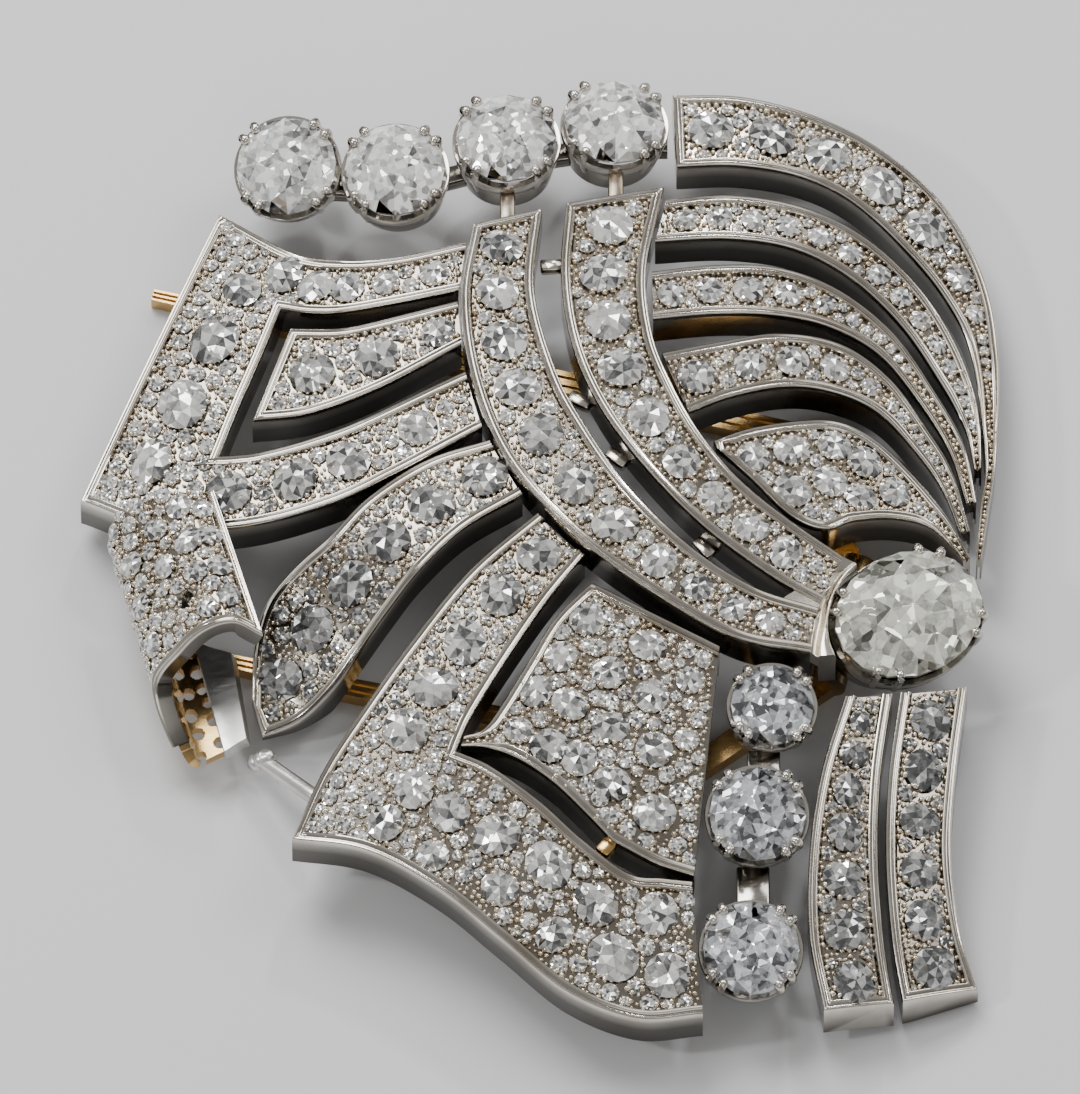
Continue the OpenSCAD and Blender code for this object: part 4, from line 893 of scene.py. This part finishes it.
RAIL_LINE = [(-13.3, 16.6), (-11.6, 17.4), (-6.7, 17.1), (-1.6, 18.6), (3.45, 19.5), (5.9, 19.5)]
settings = {"top": [bar(RAIL_LINE, 0.9, 2.6, 0.8)], "side": [], "oval": []}
for name, row in CLAW_STONES.items():
    settings[name.split("_")[0]] += collet(*row)
for x, y, z, length in ((10.2, -13.6, 4.1, 1.8), (9.7, -19.75, 3.5, 2.8)):
    settings["side"].append(block((x, y, z), (0.75, length / 2, 0.3)))
settings["oval"].append(collar())
for kind, parts in settings.items():
    points, faces = joined(parts)
    # Painted shade: each setting is painted darker the lower it lies under its nearest stone
    near = np.array([row[:3] for name, row in CLAW_STONES.items() if name.startswith(kind)])
    nearest = near[np.argmin(np.linalg.norm(points[:, None, :2] - near[None, :, :2], axis=-1), 1)]
    depth = ramp(nearest[:, 2] - points[:, 2], 0.5, 1.2)
    new_piece(kind + "_setting_fine", points, faces, SETTING_METAL, "white_metal", kind + "_setting", sharp=50,
              shades={"wall": depth})


def plate(near, far, thickness):
    """A plate between two lines of points, its top on the lines and its underside one thickness lower."""
    low = np.array([0, 0, thickness])
    return solid(np.stack([near, far, far - low, near - low], 1))


# The plain metal that joins the two ribbons' ends to each other and to the collar
ways = np.linspace(0, 1, 12)
low_edge = band_points(RIBBON_A_ROWS, 6.45 + 0.55 * ways, 1) - [0, 0, 0.12]
high_edge = band_points(RIBBON_B_ROWS, 6.5 + 0.5 * ways, 0) - [0, 0, 0.12]
ends = np.concatenate([band_points(rows, 7, ways) for rows in (RIBBON_A_ROWS, RIBBON_B_ROWS)])
line = smooth_rows(COLLAR_OUTSIDE[::-1], np.linspace(0, len(COLLAR_OUTSIDE) - 1, len(ends)))
line = np.column_stack([line, np.full(len(line), 5.72)])
metal = [plate(low_edge, high_edge, 0.9), plate(ends - [0.03, 0, 0.1], line + [0.03, 0, 0], 0.9)]
new_piece("ribbon_join", *joined(metal), SETTING_METAL, "white_metal", sharp=40)

ties = []
for u, turn in TIE_PLACES:
    place = band_points(RIBBON_B_ROWS, u, 0.0)
    points, faces = block((0, 0, 0), (0.55, 0.3, 0.25))
    ties.append((turned(points, 0, 0, turn) + (place - [0.4, 0, 1.5]), faces))
new_piece("ribbon_ties", *joined(ties), SETTING_METAL, "white_metal", sharp=50)
posts = [block(place, (0.35, 1.0, 0.3)) for place in POST_PLACES]
new_piece("ribbon_posts", *joined(posts), SHADED_METAL, "white_metal", sharp=50)

foot, head = STRUT_ENDS
length = np.linalg.norm(head - foot)
path = foot + (head - foot) / length * np.linspace(-0.1, length + 0.1, 9)[:, None]
barrel = foot + np.array([0.62, -0.1, 0.78]) * np.linspace(-0.55, 0.55, 9)[:, None]
strut = [tube(path, np.full(9, 0.38), 14), tube(barrel, BARREL_R, 16)]
new_piece("strut_fine", *joined(strut), PALE_METAL, "white_metal", "curl_strut", sharp=50)
points, faces = block((0, 0, 0), (0.36, 0.6, 0.3))
points = turned(points, 0, 0, -38) + [3.15, -17.75, 4.75]
new_piece("slot_tie", points, faces, YELLOW_METAL, "yellow_metal", sharp=50)


def curl_sheet(first, last, outer_sink, holes, fine=0.04):
    """Part of the curl's turned-in back: the rolled sheet's rows from first to last, between a face sunk by outer_sink
    and the inner face, with the round holes left out of the grid and walled from one face to the other."""
    u = np.linspace(first, last, int((last - first) * CURL_STEP / fine))
    t = np.linspace(0, 1, int(CURL_WIDTH / fine))
    U, T = np.meshgrid(u, t, indexing="ij")
    top = curl_points(U, T)
    normal = curl_normals(U, T)
    outer, inner = top - normal * outer_sink, top - normal * CURL_T
    n, m = U.shape
    half = n * m
    quads = np.array(grid_faces(n, m))
    middle = outer.reshape(-1, 3)[quads].mean(1)
    keep = np.ones(len(quads), bool)
    for place, r in holes:
        keep &= np.linalg.norm(middle - place, axis=1) > r
    quads = quads[keep]
    edges = np.concatenate([quads[:, [k, (k + 1) % 4]] for k in range(4)])
    key = np.sort(edges, axis=1)
    code = key[:, 0] * half + key[:, 1]
    _, at, count = np.unique(code, return_index=True, return_counts=True)
    rim = edges[at[count == 1]]
    sides = np.stack([rim[:, 1], rim[:, 0], rim[:, 0] + half, rim[:, 1] + half], -1)
    points = np.concatenate([outer.reshape(-1, 3), inner.reshape(-1, 3)])
    faces = np.concatenate([quads, quads[:, ::-1] + half, sides])
    used = np.unique(faces)
    number = np.zeros(len(points), int)
    number[used] = np.arange(len(used))
    return points[used], faces_out(points[used], number[faces].tolist())


rng = np.random.default_rng(17)
lace = []
for row, u in enumerate((5.3, 5.85, 6.4, 6.9)):
    for t in np.arange(0.07 + 0.075 * (row % 2), 0.98, 0.15):
        spot = curl_points(u, t) - curl_normals(u, t) * LACE_SINK
        lace.append((spot + rng.uniform(-0.16, 0.16, 3), 0.26 + 0.13 * rng.random()))
points, faces = curl_sheet(CURL_SPLIT + 0.05, LIP_START - 0.04, LACE_SINK, lace)
# The lace is painted darker towards its top, as painted shade
high = (points[:, 2] - points[:, 2].min()) / np.ptp(points[:, 2])
new_piece("curl_lace", points, faces, YELLOW_METAL, "yellow_metal", "curl_back", sharp=40,
          shades={"wall": np.clip(2.2 * high - 0.5, 0, 1)})
new_piece("curl_lip", *curl_sheet(LIP_START, len(CURL_ROWS) - 1, 0.0, [], 0.15), PALE_METAL, "white_metal", sharp=40)

for name, look in (("hinge_bracket", YELLOW_METAL), ("clip_fork", FORK_METAL)):
    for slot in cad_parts[name].material_slots:
        slot.material = look

LAMP_AIM = Vector((0, 0, 0.004))
floor_look, tree, shader = material("pale_floor")
feed(tree, shader, {"Base Color": (0.72, 0.72, 0.73, 1), "Roughness": 0.6})
bpy.ops.mesh.primitive_plane_add(size=3.0, location=(0, 0, -0.00005))
floor = bpy.context.object
floor.name = "floor"
floor.data.materials.append(floor_look)

# Soft square lamps that look at the brooch: name, place, size and power
for name, place, size, power in (
        ("overhead_box", (-0.12, 0.20, 0.33), 0.2, 1.3), ("right_box", (0.38, 0.22, 0.50), 0.26, 1.0),
        ("front_box", (0.06, -0.48, 0.55), 0.40, 0.62), ("left_glint", (-0.45, -0.10, 0.42), 0.05, 0.8),
        ("back_glint", (0.12, 0.50, 0.45), 0.05, 0.7)):
    light = bpy.data.lights.new(name, "AREA")
    light.shape, light.size, light.energy = "SQUARE", size, power
    lamp = placed(name, light)
    lamp.location = place
    lamp.rotation_euler = (Vector(place) - LAMP_AIM).to_track_quat("Z", "Y").to_euler()

world = bpy.data.worlds.new("studio")
world.use_nodes = True
feed(world.node_tree, world.node_tree.nodes["Background"], {"Color": (1.0, 0.985, 0.96, 1), "Strength": 0.34})
bpy.context.scene.world = world

# The camera: its angle over the table, its distance, its sensor, the size of one pixel at the part, the number of them
# up the image, and how far the view is moved up
ELEVATION, DISTANCE, SENSOR, PIXEL, PIXELS, RAISED = np.radians(62.0), 1200, 36, 0.046, 1094, 0.138
data = bpy.data.cameras.new("camera")
data.lens = DISTANCE * SENSOR / (PIXELS * PIXEL)
data.clip_start, data.clip_end = 0.1, 5.0
camera = placed("camera", data)
back = Vector((0, -np.cos(ELEVATION), np.sin(ELEVATION)))
up = Vector((0, np.sin(ELEVATION), np.cos(ELEVATION)))
camera.location = Vector(CENTRING * MM) + up * RAISED * MM + back * DISTANCE * MM
camera.rotation_euler = back.to_track_quat("Z", "Y").to_euler()
bpy.context.scene.camera = camera
